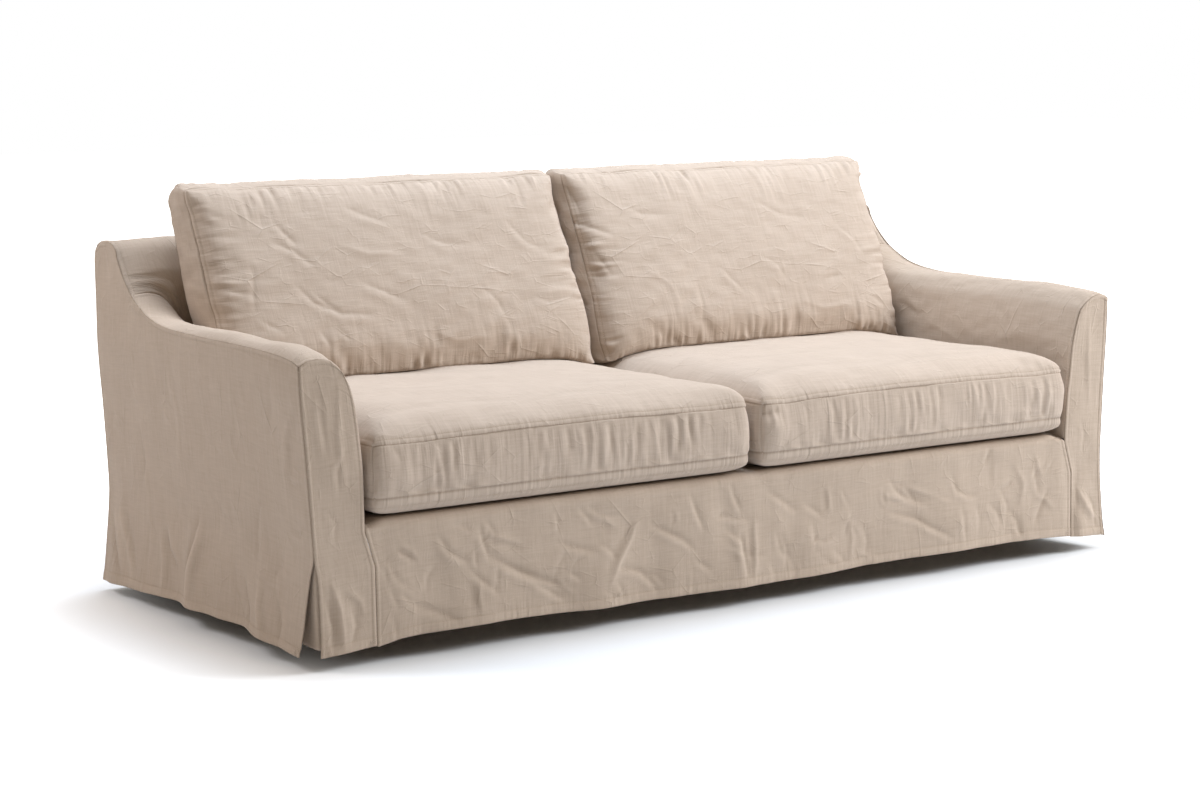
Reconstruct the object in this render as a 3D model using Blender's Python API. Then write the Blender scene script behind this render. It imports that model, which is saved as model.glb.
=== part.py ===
"""A fitted linen sofa slipcover with sloping arms: sewn panels and four box cushions.

The panels form the back, the arms and the seat platform and hang to a hem just above the floor.
The skirt is slit at its four corners, with a folded insert behind each slit. Metres, +Z up, and
the front faces -Y. Sizes are measured from the middle of the footprint on the floor. An empty
then carries every piece, so that the model's origin is the point under the rolled top of the back
where the cover is held.
"""

import math
from bisect import bisect_right
from collections import namedtuple

import bpy
from mathutils import Vector

SIDE = {"left": -1, "right": 1}  # which way along X each half of the cover lies

# Cloth and seams
CLOTH = 0.002  # thickness of the washed linen with its seam allowance
GAP = 0.0003  # between two pieces that are sewn together
LAP = CLOTH + GAP  # a panel that meets another square starts this far behind its face

# Main sizes of the cover
FRONT = -0.522  # outer face of the apron and of the arm fronts
DECK = 0.296  # top of the seat platform
PLATFORM_HALF = 0.951  # half the platform's width, between the arms
ARM_ENDS = 0.297  # where the arm's crest ends and the back rises from it
ARM_BELOW_DECK = 0.012  # how far the arm's inner side runs down beside the platform
ROLL_SEAM = (0.509, 0.765)  # y and z of the seam where the rolled top meets the outside back
TOP_OF_BACK = (0.439, 0.818)  # y and z of the highest line of the rolled top
APRON_RETURN = 0.10  # how far the apron runs back over the platform
APRON_ROUND = 0.021  # radius of its front edge
APRON_DIP = 0.010  # how much lower it lies beside the arms
APRON_DIP_WIDTH = 0.050

# The seams between apron and arm fronts drift sideways on their way down
SEAM_DRIFT = {"left": -0.021, "right": 0.021}  # outwards is more than 0
DRIFT_FROM = DECK - APRON_ROUND
DRIFT_TO = 0.200

# The skirt's corners
SLIT_TOP = 0.236
INSERT_WIDTH = 0.075
INSERT_TOP = 0.262
INSERT_HEM = 0.044
INSERT_AT_TOP = 0.0032  # how far the insert lies behind the panels' faces, where it is sewn
INSERT_AT_HEM = 0.010
INSERT_ROUND = 0.006  # radius of its fold
INSERT_LEVELS = (0.0, 0.25, 0.5, 0.75, 1.0)
SLIT_REACH = 0.25  # the share of a side's length over which an open flap eases back
CALM_BESIDE_SEAM = {"arm_front": 0.030, "outside_back": 0.065}  # no folds this near their seams

# Half the cover's width at each height: the arms lean out, and the skirt kicks out again
Flare = namedtuple("Flare", "z half_width")
FLARE = (
    Flare(0.030, 1.089),
    Flare(0.080, 1.081),
    Flare(0.130, 1.076),
    Flare(0.190, 1.071),
    Flare(0.236, 1.069),
    Flare(0.300, 1.072),
    Flare(0.440, 1.080),
    Flare(0.540, 1.087),
    Flare(0.600, 1.089),
    Flare(0.700, 1.087),
    Flare(0.820, 1.085),
)

# The outer face of the outside back at each height
Rear = namedtuple("Rear", "z y")
REAR = (
    Rear(0.030, 0.528),
    Rear(0.080, 0.529),
    Rear(0.130, 0.527),
    Rear(0.190, 0.522),
    Rear(0.236, 0.516),
    Rear(0.300, 0.512),
    Rear(0.400, 0.509),
    Rear(0.520, 0.505),
    Rear(0.620, 0.504),
    Rear(0.700, 0.507),
    Rear(0.765, 0.509),
    Rear(0.781, 0.507),
    Rear(0.798, 0.500),
)

# The crest seam along the outside arm, from the arm's front up and over the side of the back
Crest = namedtuple("Crest", "y z")
CREST = (
    Crest(-0.522, 0.617),
    Crest(-0.489, 0.626),
    Crest(-0.420, 0.633),
    Crest(-0.300, 0.638),
    Crest(-0.060, 0.640),
    Crest(0.090, 0.644),
    Crest(0.164, 0.651),
    Crest(0.220, 0.663),
    Crest(0.260, 0.680),
    Crest(0.297, 0.700),
    Crest(0.330, 0.727),
    Crest(0.351, 0.749),
    Crest(0.375, 0.780),
    Crest(0.389, 0.799),
    Crest(0.414, 0.814),
    Crest(0.439, 0.818),
    Crest(0.466, 0.8165),
    Crest(0.500, 0.798),
)

# Each arm's outline at its front, from the crest seam over the domed top and down its inner side;
# the two arms are stuffed a little differently. The last row is the same where the back rises.
Outline = namedtuple("Outline", "x z")
CREST_FOOT = Outline(1.0867, CREST[0].z)
DECK_FOOT = Outline(PLATFORM_HALF + GAP, DECK - ARM_BELOW_DECK)
ARM_OUTLINE = {
    "left": (
        CREST_FOOT,
        Outline(1.065, 0.6275),
        Outline(1.042, 0.629),
        Outline(1.020, 0.625),
        Outline(1.004, 0.6145),
        Outline(0.991, 0.600),
        Outline(0.980, 0.580),
        Outline(0.970, 0.552),
        Outline(0.963, 0.515),
        Outline(0.957, 0.465),
        Outline(0.951, 0.380),
        DECK_FOOT,
    ),
    "right": (
        CREST_FOOT,
        Outline(1.065, 0.625),
        Outline(1.045, 0.6215),
        Outline(1.028, 0.6135),
        Outline(1.012, 0.602),
        Outline(0.999, 0.589),
        Outline(0.990, 0.566),
        Outline(0.981, 0.537),
        Outline(0.973, 0.500),
        Outline(0.967, 0.450),
        Outline(0.957, 0.372),
        DECK_FOOT,
    ),
}
REAR_OUTLINE = (
    Outline(1.0847, 0.700),
    Outline(1.065, 0.705),
    Outline(1.045, 0.706),
    Outline(1.020, 0.703),
    Outline(1.000, 0.695),
    Outline(0.985, 0.681),
    Outline(0.973, 0.662),
    Outline(0.966, 0.635),
    Outline(0.962, 0.590),
    Outline(0.959, 0.520),
    Outline(0.954, 0.420),
    DECK_FOOT,
)
SHOULDER = 5  # the row where the arm front's top edge ends and its inner edge begins
REAR_SHAPE_FROM = 0.45  # the share of the arm's length where it starts to take its rear outline
DOME_SETTLES = {"left": 0.0, "right": 0.005}  # behind its front the dome lies this much lower
SETTLES_BY = 0.15  # over this share of the arm's length
SETTLE_FOOT = 0.324  # the settling fades out from the dome down to this height
SETTLE_TOP = 0.604

# The back's front face: heights and depths from the platform up to the roll
Face = namedtuple("Face", "z y")
BACK_FACE = (
    Face(0.284, 0.273),
    Face(0.400, 0.290),
    Face(0.500, 0.305),
    Face(0.600, 0.320),
    Face(0.700, 0.335),
    Face(0.749, 0.351),
)
FACE_TURNS = 0.990  # beyond this half width the face turns forward to the crest seam

# The rolled top, from its rear seam forwards to the face
Profile = namedtuple("Profile", "y z")
ROLL = (
    Profile(*ROLL_SEAM),
    Profile(0.507, 0.781),
    Profile(0.500, 0.798),
    Profile(0.484, 0.811),
    Profile(0.462, 0.8168),
    Profile(*TOP_OF_BACK),
    Profile(0.414, 0.814),
    Profile(0.389, 0.799),
    Profile(0.375, 0.780),
    Profile(0.351, 0.749),
)

# How far the flaps open at a slit, along the side and along the front or back, where it hangs widest
Slit = namedtuple("Slit", "z side end")
SLIT = (
    Slit(0.030, 0.033, 0.020),
    Slit(0.085, 0.027, 0.014),
    Slit(0.120, 0.024, 0.011),
    Slit(0.155, 0.020, 0.009),
    Slit(0.190, 0.013, 0.005),
    Slit(SLIT_TOP, 0.0, 0.0),
    Slit(0.900, 0.0, 0.0),
)
# How much of that each corner opens
SPREAD = {
    ("front", "left"): 1.00,
    ("front", "right"): 0.12,
    ("rear", "left"): 0.20,
    ("rear", "right"): 0.50,
}

# Heights of the hem
Hem = namedtuple("Hem", "at z")
SIDE_HEM = (
    Hem(-0.522, 0.030),
    Hem(-0.353, 0.038),
    Hem(-0.204, 0.045),
    Hem(0.079, 0.043),
    Hem(0.323, 0.034),
    Hem(0.530, 0.026),
)
FRONT_HEM = (
    Hem(-1.090, 0.029),
    Hem(-0.950, 0.036),
    Hem(-0.880, 0.046),
    Hem(-0.650, 0.051),
    Hem(-0.390, 0.045),
    Hem(0.100, 0.043),
    Hem(0.470, 0.050),
    Hem(0.840, 0.049),
    Hem(0.980, 0.041),
    Hem(1.090, 0.034),
)
REAR_HEM = (Hem(-1.090, 0.026), Hem(-0.500, 0.040), Hem(0.300, 0.037), Hem(1.090, 0.030))

# Soft folds at the hem: where each stands, its half width, its reach outwards and its height
Fold = namedtuple("Fold", "at width reach height")
FOLDS = {
    "outside_arm_left": (
        Fold(-0.450, 0.045, 0.004, 0.20),
        Fold(-0.320, 0.060, 0.012, 0.24),
        Fold(-0.205, 0.040, -0.005, 0.20),
        Fold(-0.100, 0.060, 0.006, 0.24),
        Fold(0.020, 0.055, 0.016, 0.30),
        Fold(0.115, 0.040, -0.005, 0.26),
        Fold(0.300, 0.070, 0.006, 0.34),
        Fold(0.450, 0.050, 0.008, 0.38),
    ),
    "outside_arm_right": (
        Fold(-0.460, 0.045, 0.006, 0.24),
        Fold(-0.280, 0.070, 0.010, 0.26),
        Fold(-0.150, 0.045, -0.005, 0.20),
        Fold(0.010, 0.060, 0.009, 0.30),
        Fold(0.190, 0.055, 0.013, 0.26),
        Fold(0.420, 0.060, 0.007, 0.34),
    ),
    "front_apron": (
        Fold(-0.840, 0.060, -0.004, 0.16),
        Fold(-0.700, 0.070, 0.006, 0.18),
        Fold(-0.400, 0.060, 0.010, 0.18),
        Fold(-0.270, 0.050, -0.005, 0.14),
        Fold(-0.030, 0.070, 0.008, 0.20),
        Fold(0.180, 0.060, 0.005, 0.16),
        Fold(0.330, 0.040, -0.005, 0.14),
        Fold(0.600, 0.070, 0.010, 0.20),
        Fold(0.760, 0.050, -0.004, 0.15),
    ),
    "outside_back": (
        Fold(-0.850, 0.080, 0.008, 0.30),
        Fold(-0.450, 0.090, 0.010, 0.34),
        Fold(-0.200, 0.060, -0.005, 0.26),
        Fold(0.150, 0.090, 0.009, 0.36),
        Fold(0.550, 0.080, 0.011, 0.30),
        Fold(0.880, 0.060, 0.006, 0.26),
    ),
    "arm_front_left": (Fold(-1.005, 0.035, 0.005, 0.22),),
    "arm_front_right": (Fold(1.000, 0.035, 0.006, 0.20),),
}

# Where the grid lines of the panels lie, as shares of each panel's height or width
LEVELS = (0.0, 0.04, 0.10, 0.18, 0.27, 0.35, 0.45, 0.58, 0.72, 0.87, 1.0)
SKIRT_LEVELS = (0.0, 0.12, 0.33, 0.64, 1.0)  # of the height from the hem to where the seams drift
INNER_EDGE_LEVELS = (0.16, 0.38, 0.60, 0.80, 1.0)  # of the arm front's inner edge above that
ARM_STATIONS = (0.0, 0.015, 0.05, 0.11, 0.22, 0.36, 0.50, 0.62, 0.72, 0.80, 0.87, 0.94, 1.0)
FACE_LEVELS = (0.15, 0.34, 0.55, 0.78, 1.0)
BACK_COLUMNS = (0.0, 0.213, 0.426, 0.618, 0.788, 0.916, 0.980)  # of half the platform's width
APRON_ARC = (0, 22, 45, 68, 90)  # degrees around the apron's front edge
ARM_FRONT_SHARES = (0.0, 0.2, 0.4, 0.6, 0.8, 1.0)
SIDE_COLUMNS = 26
APRON_COLUMNS = 30
REAR_COLUMNS = 24
DECK_COLUMNS = 4
DECK_ROWS = 3

# Cushions: inset from the plan outline, and height or depth, for each ring from one face's middle
# over its seam, boxing and second seam to the other face
Ring = namedtuple("Ring", "inset height")
SEAT_SEAM = 0.4430  # height of the top seam at the corners
SEAT_RINGS = (
    Ring(0.250, DECK + GAP),
    Ring(0.080, 0.2968),
    Ring(0.034, 0.3010),
    Ring(0.012, 0.3085),
    Ring(0.002, 0.3200),
    Ring(0.000, 0.3330),
    Ring(-0.007, 0.3600),
    Ring(-0.008, 0.3950),
    Ring(0.000, SEAT_SEAM),
    Ring(0.010, 0.4600),
    Ring(0.032, 0.4770),
    Ring(0.075, 0.4910),
    Ring(0.150, 0.5010),
    Ring(0.250, 0.5050),
)
SEAT_FRONT = -0.540
SEAT_REAR = 0.262
SEAT_SEAM_RISE = 0.008  # the top seam stands this much higher in the middle of each side
SEAT_RISE_BAND = 0.060  # the cloth this far above and below goes up with it
SEAT_RISE_INNER = 0.6  # and so does the cloth from this share of the plan outwards
SEAT_SPANS = {"left": (-0.942, 0.0105), "right": (0.0275, 0.942)}
SEAT_CORNER = 0.040  # radius of its corners, seen from above

# A back cushion leans, and its bottom lies along the seat: y and z of its four seam corners
BackCorner = namedtuple("BackCorner", "y z")
FRONT_BOTTOM = BackCorner(0.096, 0.502)
FRONT_TOP = BackCorner(0.272, 0.914)
REAR_BOTTOM = BackCorner(0.226, 0.502)
REAR_TOP = BackCorner(0.374, 0.902)
BACK_ABOVE_SEAT = 0.0040  # room for the flat faces of both between their points
BACK_LOWEST = 0.480  # its bottom corners sink this low where the seat cushions fall away
BACK_FOLLOWS = 0.30  # the share of its height over which it goes down with them
BACK_RINGS = (
    Ring(0.190, 1.28),
    Ring(0.100, 1.22),
    Ring(0.030, 1.12),
    Ring(0.000, 1.00),
    Ring(-0.009, 0.70),
    Ring(-0.008, 0.25),
    Ring(0.000, 0.00),
    Ring(0.004, -0.09),
    Ring(0.016, -0.19),
    Ring(0.046, -0.30),
    Ring(0.100, -0.38),
    Ring(0.190, -0.42),
)
BACK_TOP_CROWN = 0.030  # the top edge rises this much between its two seams
BACK_CROWN_FROM = 0.85  # from this share of the height upwards
BACK_SPANS = {"left": (-0.958, 0.009), "right": (0.037, 0.960)}
BACK_CORNER = 0.024
BACK_NARROWS = 0.009  # the side by the arm draws in this much at the bottom
BACK_NARROW_TO = 0.22  # fully up to this share of the height
BACK_FULL_FROM = 0.52
DRAWN_IN = 0.005  # each side pulls in this much between its corners
DRAWN_IN_RIM = 0.200  # and the faces do so over this far from the rim
SMALLEST_CORNER = 0.010
POINTS_PER_SIDE = 9
CROWDED = 0.6  # 0 for an even spacing, and towards 1 they crowd at the corners
POINTS_PER_CORNER = 4


def smoothstep(t):
    t = min(max(t, 0.0), 1.0)
    return t * t * (3.0 - 2.0 * t)


def mix(a, b, t):
    return a + (b - a) * t


def read(table, at):
    """The second column of a table at a value of its first, on a smooth curve without overshoot."""
    keys = [row[0] for row in table]
    values = [row[1] for row in table]
    at = min(max(at, keys[0]), keys[-1])
    i = min(bisect_right(keys, at) - 1, len(keys) - 2)

    def slope(k):
        if k == 0 or k == len(keys) - 1:
            j = min(k, len(keys) - 2)
            return (values[j + 1] - values[j]) / (keys[j + 1] - keys[j])
        before = (values[k] - values[k - 1]) / (keys[k] - keys[k - 1])
        after = (values[k + 1] - values[k]) / (keys[k + 1] - keys[k])
        return 2.0 * before * after / (before + after) if before * after > 0 else 0.0

    span = keys[i + 1] - keys[i]
    t = (at - keys[i]) / span
    start, end = slope(i) * span, slope(i + 1) * span
    rise = values[i + 1] - values[i]
    return values[i] + t * (start + t * (3 * rise - 2 * start - end + t * (start + end - 2 * rise)))


def along(points, share):
    """The point at a share of the length of the line through some points."""
    points = [Vector(p) for p in points]
    steps = [(b - a).length for a, b in zip(points, points[1:])]
    left = share * sum(steps)
    for a, b, step in zip(points, points[1:], steps):
        if left <= step:
            return a.lerp(b, left / step)
        left -= step
    return points[-1]


def half_width(z):
    return read(FLARE, z)


def opening(z, column, corner):
    return SPREAD[corner] * read([(row.z, getattr(row, column)) for row in SLIT], z)


def apron_edge(which, z):
    """Half the apron's width on one side, at a height."""
    drift = (DRIFT_FROM - z) / (DRIFT_FROM - DRIFT_TO)
    return PLATFORM_HALF + SEAM_DRIFT[which] * min(max(drift, 0.0), 1.0)


def fold(panel_name, at, z, hem):
    """How far a panel's folds push it outwards at a place along its hem and a height."""
    total = 0.0
    for row in FOLDS[panel_name]:
        across = math.exp(-(((at - row.at) / row.width) ** 2))
        total += row.reach * across * (1.0 - smoothstep((z - hem) / row.height))
    return total


def calm_at(value, edge, width):
    """0 at a sewn edge and 1 from a width away, so that neighbours keep their gap."""
    return smoothstep(abs(value - edge) / width)


# --- Building helpers ---------------------------------------------------------------------------


def new_material(name, colour, roughness):
    material = bpy.data.materials.new(name)
    material.use_nodes = True
    shader = material.node_tree.nodes["Principled BSDF"]
    shader.inputs["Base Color"].default_value = (*colour, 1.0)
    shader.inputs["Roughness"].default_value = roughness
    shader.inputs["Metallic"].default_value = 0.0
    return material


def new_object(name, vertices, faces, material, carrier):
    mesh = bpy.data.meshes.new(name)
    mesh.from_pydata([tuple(v) for v in vertices], [], faces)
    mesh.materials.append(material)
    mesh.shade_smooth()
    obj = bpy.data.objects.new(name, mesh)
    obj.parent = carrier
    bpy.context.scene.collection.objects.link(obj)
    return obj


def panel(name, rows, outward, material, carrier):
    """A sheet of cloth through rows of outer points, with its thickness behind them."""
    count = len(rows[0])
    vertices = [Vector(p) for row in rows for p in row]
    faces = []
    for r in range(len(rows) - 1):
        for c in range(count - 1):
            corner = r * count + c
            faces.append((corner, corner + 1, corner + count + 1, corner + count))
    middle = (len(rows) // 2) * count + count // 2
    across = vertices[middle + 1] - vertices[middle]
    up = vertices[middle + count] - vertices[middle]
    if across.cross(up).dot(Vector(outward)) < 0:
        faces = [face[::-1] for face in faces]
    obj = new_object(name, vertices, faces, material, carrier)
    thickness = obj.modifiers.new("Cloth thickness", "SOLIDIFY")
    thickness.thickness = CLOTH
    thickness.offset = -1.0
    thickness.use_even_offset = True
    return obj


def cushion_outline(half_x, half_y, inset, corner_radius):
    """A rounded rectangle, anticlockwise, with sides that pull in between its corners."""
    radius = max(corner_radius - 0.5 * inset, SMALLEST_CORNER)
    a, b = half_x - inset - radius, half_y - inset - radius
    pull = DRAWN_IN * max(1.0 - inset / DRAWN_IN_RIM, 0.0)
    points = []
    corners = (((a, -b), -90), ((a, b), 0), ((-a, b), 90), ((-a, -b), 180))
    for k, ((x, y), turn) in enumerate(corners):
        for step in range(POINTS_PER_CORNER):
            angle = math.radians(turn + 90 * step / (POINTS_PER_CORNER - 1))
            points.append(Vector((x + radius * math.cos(angle), y + radius * math.sin(angle))))
        start = points[-1]
        next_x, next_y = corners[(k + 1) % 4][0]
        angle = math.radians(turn + 90)
        end = Vector((next_x + radius * math.cos(angle), next_y + radius * math.sin(angle)))
        inwards = Vector((-math.cos(angle), -math.sin(angle)))
        for step in range(1, POINTS_PER_SIDE):
            t = step / POINTS_PER_SIDE
            t -= CROWDED * math.sin(2.0 * math.pi * t) / (2.0 * math.pi)
            points.append(start.lerp(end, t) + inwards * pull * math.sin(math.pi * t))
    return points


def cushion(name, half_x, half_y, corner_radius, rings, place, material, carrier):
    """One filled solid: rings of points closed by a point in the middle of each face."""
    vertices = []
    for ring in rings:
        for point in cushion_outline(half_x, half_y, ring.inset, corner_radius):
            vertices.append(place(point.x / half_x, point.y / half_y, ring.height))
    count = len(vertices) // len(rings)
    faces = []
    for r in range(len(rings) - 1):
        for c in range(count):
            a, b = r * count + c, r * count + (c + 1) % count
            faces.append((a, b, b + count, a + count))
    first, last = len(vertices), len(vertices) + 1
    vertices += [place(0.0, 0.0, rings[0].height), place(0.0, 0.0, rings[-1].height)]
    top = (len(rings) - 1) * count
    for c in range(count):
        faces.append(((c + 1) % count, c, first))
        faces.append((top + c, top + (c + 1) % count, last))
    return new_object(name, vertices, faces, material, carrier)


# --- The sewn cover -----------------------------------------------------------------------------


def outside_arm(which, name, material, carrier):
    """The big side panel, from the hem to the crest seam, over arm and side of the back."""
    rows = []
    for column in range(SIDE_COLUMNS + 1):
        share = column / SIDE_COLUMNS
        crest = along(CREST, share)
        crest_share = (crest.x - FRONT) / (read(REAR, crest.y) - FRONT)
        hem = read(SIDE_HEM, mix(FRONT, REAR[0].y, share))
        near_front = max(1.0 - share / SLIT_REACH, 0.0)
        near_rear = max(1.0 - (1.0 - share) / SLIT_REACH, 0.0)
        row = []
        for level in LEVELS:
            z = mix(hem, crest.y, level)
            front = FRONT + opening(z, "side", ("front", which)) * near_front
            rear = read(REAR, z) - opening(z, "side", ("rear", which)) * near_rear
            y = mix(front, rear, mix(share, crest_share, level))
            row.append((SIDE[which] * (half_width(z) + fold(name, y, z, hem)), y, z))
        rows.append(row)
    return panel(name, rows, (SIDE[which], 0, 0), material, carrier)


def arm_front(which, name, material, carrier):
    """The narrow front panel of an arm, from the hem to the domed top."""
    outline = ARM_OUTLINE[which]
    hem_outer = read(FRONT_HEM, SIDE[which] * half_width(FLARE[0].z))
    hem_inner = read(FRONT_HEM, SIDE[which] * apron_edge(which, DRIFT_TO))
    heights = [mix(hem_inner, DRIFT_TO, level) for level in SKIRT_LEVELS] + [DRIFT_FROM]
    inner_edge = [Vector((apron_edge(which, z) + 2 * GAP, z)) for z in heights]
    upper_edge = [inner_edge[-1]] + [Vector(point) for point in reversed(outline[SHOULDER:-1])]
    inner_edge += [along(upper_edge, level) for level in INNER_EDGE_LEVELS]

    def outer_edge(level):
        z = mix(hem_outer, CREST_FOOT.z, level)
        return Vector((half_width(z) - LAP - opening(z, "end", ("front", which)), z))

    hem_start, hem_end = outer_edge(0.0), inner_edge[0]
    top_start, top_end = outer_edge(1.0), Vector(outline[SHOULDER])
    top_edge = [top_start] + [Vector(point) for point in outline[1 : SHOULDER + 1]]
    rows = []
    for level, inner in zip(LEVELS, inner_edge):
        row = []
        for share in ARM_FRONT_SHARES:
            sides = outer_edge(level).lerp(inner, share)
            ends = hem_start.lerp(hem_end, share).lerp(along(top_edge, share), level)
            corners = hem_start.lerp(hem_end, share).lerp(top_start.lerp(top_end, share), level)
            point = sides + ends - corners
            reach = fold(name, SIDE[which] * point.x, point.y, hem_outer)
            reach *= calm_at(point.x, inner.x, CALM_BESIDE_SEAM["arm_front"])
            row.append((SIDE[which] * point.x, FRONT - reach, point.y))
        rows.append(row)
    return panel(name, rows, (0, -1, 0), material, carrier)


def arm_rise(y):
    """How much taller the arm's outline is at a place along it than at its front."""
    return (read(CREST, y) - DECK) / (CREST[0].z - DECK)


def back_face(x, z):
    """How far back the front face of the back lies; at its sides it meets the crest seam."""
    crest_by_height = [(row.z, row.y) for row in CREST if row.y <= TOP_OF_BACK[0]]
    turn = smoothstep((abs(x) - FACE_TURNS) / (half_width(z) - LAP - FACE_TURNS))
    return mix(read(BACK_FACE, z), read(crest_by_height, z), turn)


def inside_arm(which, name, material, carrier):
    """Over the arm's top and down its inner side to the platform, from front to back."""
    start = FRONT + LAP
    rows = []
    for share in ARM_STATIONS:
        row = []
        rear_shape = smoothstep((share - REAR_SHAPE_FROM) / (1.0 - REAR_SHAPE_FROM))
        settled = DOME_SETTLES[which] * smoothstep(share / SETTLES_BY) * (1.0 - rear_shape)
        for front, rear in zip(ARM_OUTLINE[which], REAR_OUTLINE):
            above = front.z - DECK
            raised = DECK + above * arm_rise(mix(start, ARM_ENDS, share))
            raised_rear = DECK + above * arm_rise(ARM_ENDS)
            x = mix(front.x, rear.x, rear_shape)
            y = mix(start, back_face(rear.x, rear.z) - GAP, share)
            z = raised + (rear.z - raised_rear) * rear_shape
            z -= settled * smoothstep((front.z - SETTLE_FOOT) / (SETTLE_TOP - SETTLE_FOOT))
            row.append((SIDE[which] * x, y, z if above > 0 else front.z))
        crest_y = row[0][1]
        crest_z = read(CREST, crest_y)
        row[0] = (SIDE[which] * (half_width(crest_z) - LAP), crest_y, crest_z)
        rows.append(row)
    return panel(name, rows, (-SIDE[which], 0, 1), material, carrier)


def inside_back(name, material, carrier):
    """The rolled top and the face of the back, which widens over the arms to the crest seams."""
    feet = [(share * PLATFORM_HALF, DECK + GAP) for share in BACK_COLUMNS]
    feet += [(point.x - GAP, point.z) for point in reversed(REAR_OUTLINE[:-1])]
    half = []
    for foot_x, foot_z in feet:
        column = []
        for point in ROLL:
            stretch = (half_width(point.z) - LAP) / feet[-1][0]
            column.append(Vector((foot_x * stretch, point.y, point.z)))
        top = column[-1]
        for level in FACE_LEVELS:
            x, z = mix(top.x, foot_x, level), mix(top.z, foot_z, level)
            column.append(Vector((x, back_face(x, z), z)))
        half.append(column)
    mirrored = [[Vector((-p.x, p.y, p.z)) for p in column] for column in reversed(half[1:])]
    return panel(name, mirrored + half, (0, -1, 0.4), material, carrier)


def outside_back(name, material, carrier):
    """The flat rear panel, from the roll's seam to the hem."""
    top = ROLL_SEAM[1] - 2 * GAP
    rows = []
    for column in range(REAR_COLUMNS + 1):
        share = 2.0 * column / REAR_COLUMNS - 1.0
        row = []
        for level in LEVELS:
            hem = read(REAR_HEM, share * half_width(FLARE[0].z))
            z = mix(hem, top, level)
            which = "left" if share < 0 else "right"
            edge = half_width(z) - LAP - GAP - opening(z, "end", ("rear", which))
            x = share * edge
            reach = fold(name, x, z, hem) * calm_at(abs(x), edge, CALM_BESIDE_SEAM["outside_back"])
            row.append((x, read(REAR, z) + reach, z))
        rows.append(row)
    return panel(name, rows, (0, 1, 0), material, carrier)


def front_apron(name, material, carrier):
    """The front skirt between the arms, rolled over the platform's edge and under the cushions."""
    rows = []
    for column in range(APRON_COLUMNS + 1):
        share = 2.0 * column / APRON_COLUMNS - 1.0
        which = "left" if share < 0 else "right"
        at = share * PLATFORM_HALF
        hem = read(FRONT_HEM, at)
        inner = calm_at(abs(at), PLATFORM_HALF, APRON_DIP_WIDTH)
        dip = APRON_DIP * (1.0 - inner)
        points = []
        for z in [mix(hem, DRIFT_TO, level) for level in SKIRT_LEVELS] + [mix(DRIFT_TO, DRIFT_FROM, 0.5)]:
            points.append((FRONT - fold(name, at, z, hem) * inner, z))
        for angle in APRON_ARC:
            y = FRONT + APRON_ROUND * (1.0 - math.cos(math.radians(angle)))
            points.append((y, DRIFT_FROM + APRON_ROUND * math.sin(math.radians(angle)) - dip))
        for back in (0.5, 1.0):
            points.append((FRONT + APRON_RETURN * back, DECK - dip * (1.0 - back)))
        rows.append([(share * apron_edge(which, z), y, z) for y, z in points])
    return panel(name, rows, (0, -1, 0), material, carrier)


def seat_deck(name, material, carrier):
    """The platform panel under the seat cushions."""
    half = PLATFORM_HALF - GAP
    front, rear = FRONT + APRON_RETURN + GAP, read(BACK_FACE, DECK) - GAP
    rows = []
    for row in range(DECK_ROWS + 1):
        y = mix(front, rear, row / DECK_ROWS)
        rows.append([(mix(-half, half, c / DECK_COLUMNS), y, DECK) for c in range(DECK_COLUMNS + 1)])
    return panel(name, rows, (0, 0, 1), material, carrier)


def slit_insert(place, which, name, material, carrier):
    """The folded strip behind a corner slit, sewn at its top and hanging straight."""
    side, end = SIDE[which], -1 if place == "front" else 1
    corner_x = half_width(SLIT_TOP)
    corner_y = FRONT if place == "front" else read(REAR, INSERT_TOP)
    rows = []
    for level in INSERT_LEVELS:
        z = mix(INSERT_HEM, INSERT_TOP, level)
        inset = mix(INSERT_AT_HEM, INSERT_AT_TOP, level)
        x, y = side * (corner_x - inset), corner_y - end * inset
        plan = (
            (x, corner_y - end * INSERT_WIDTH),
            (x, y - end * 3 * INSERT_ROUND),
            (x, y - end * INSERT_ROUND),
            (x - side * 0.3 * INSERT_ROUND, y - end * 0.3 * INSERT_ROUND),
            (x - side * INSERT_ROUND, y),
            (x - side * 3 * INSERT_ROUND, y),
            (side * (corner_x - INSERT_WIDTH), y),
        )
        rows.append([(px, py, z) for px, py in plan])
    return panel(name, rows, (side, end, 0), material, carrier)


# --- The cushions -------------------------------------------------------------------------------


def seam_band(z):
    """1 at the height of the seat cushions' top seam, fading to 0 above and below."""
    return 1.0 - smoothstep(abs(z - SEAT_SEAM) / SEAT_RISE_BAND)


def seat_cushion(which, name, material, carrier):
    """A box cushion with a full crown, which overhangs the apron a little."""
    low, high = SEAT_SPANS[which]
    half_x, half_y = (high - low) / 2, (SEAT_REAR - SEAT_FRONT) / 2
    middle_x, middle_y = (low + high) / 2, (SEAT_FRONT + SEAT_REAR) / 2

    def place(u, v, z):
        edge = max(abs(u), abs(v))
        middle = 1.0 - min(abs(u), abs(v)) ** 2
        outer = smoothstep((edge - SEAT_RISE_INNER) / (1.0 - SEAT_RISE_INNER))
        lift = SEAT_SEAM_RISE * middle * seam_band(z) * outer
        return Vector((middle_x + u * half_x, middle_y + v * half_y, z + lift))

    return cushion(name, half_x, half_y, SEAT_CORNER, SEAT_RINGS, place, material, carrier)


def seat_top(which, x, y):
    """The highest that a seat cushion's top may reach at a place."""
    low, high = SEAT_SPANS[which]
    crown = [(ring.inset, ring.height) for ring in SEAT_RINGS if ring.height >= SEAT_SEAM]
    z = read(crown, min(x - low, high - x, SEAT_REAR - y))
    return z + SEAT_SEAM_RISE * seam_band(z)


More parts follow.
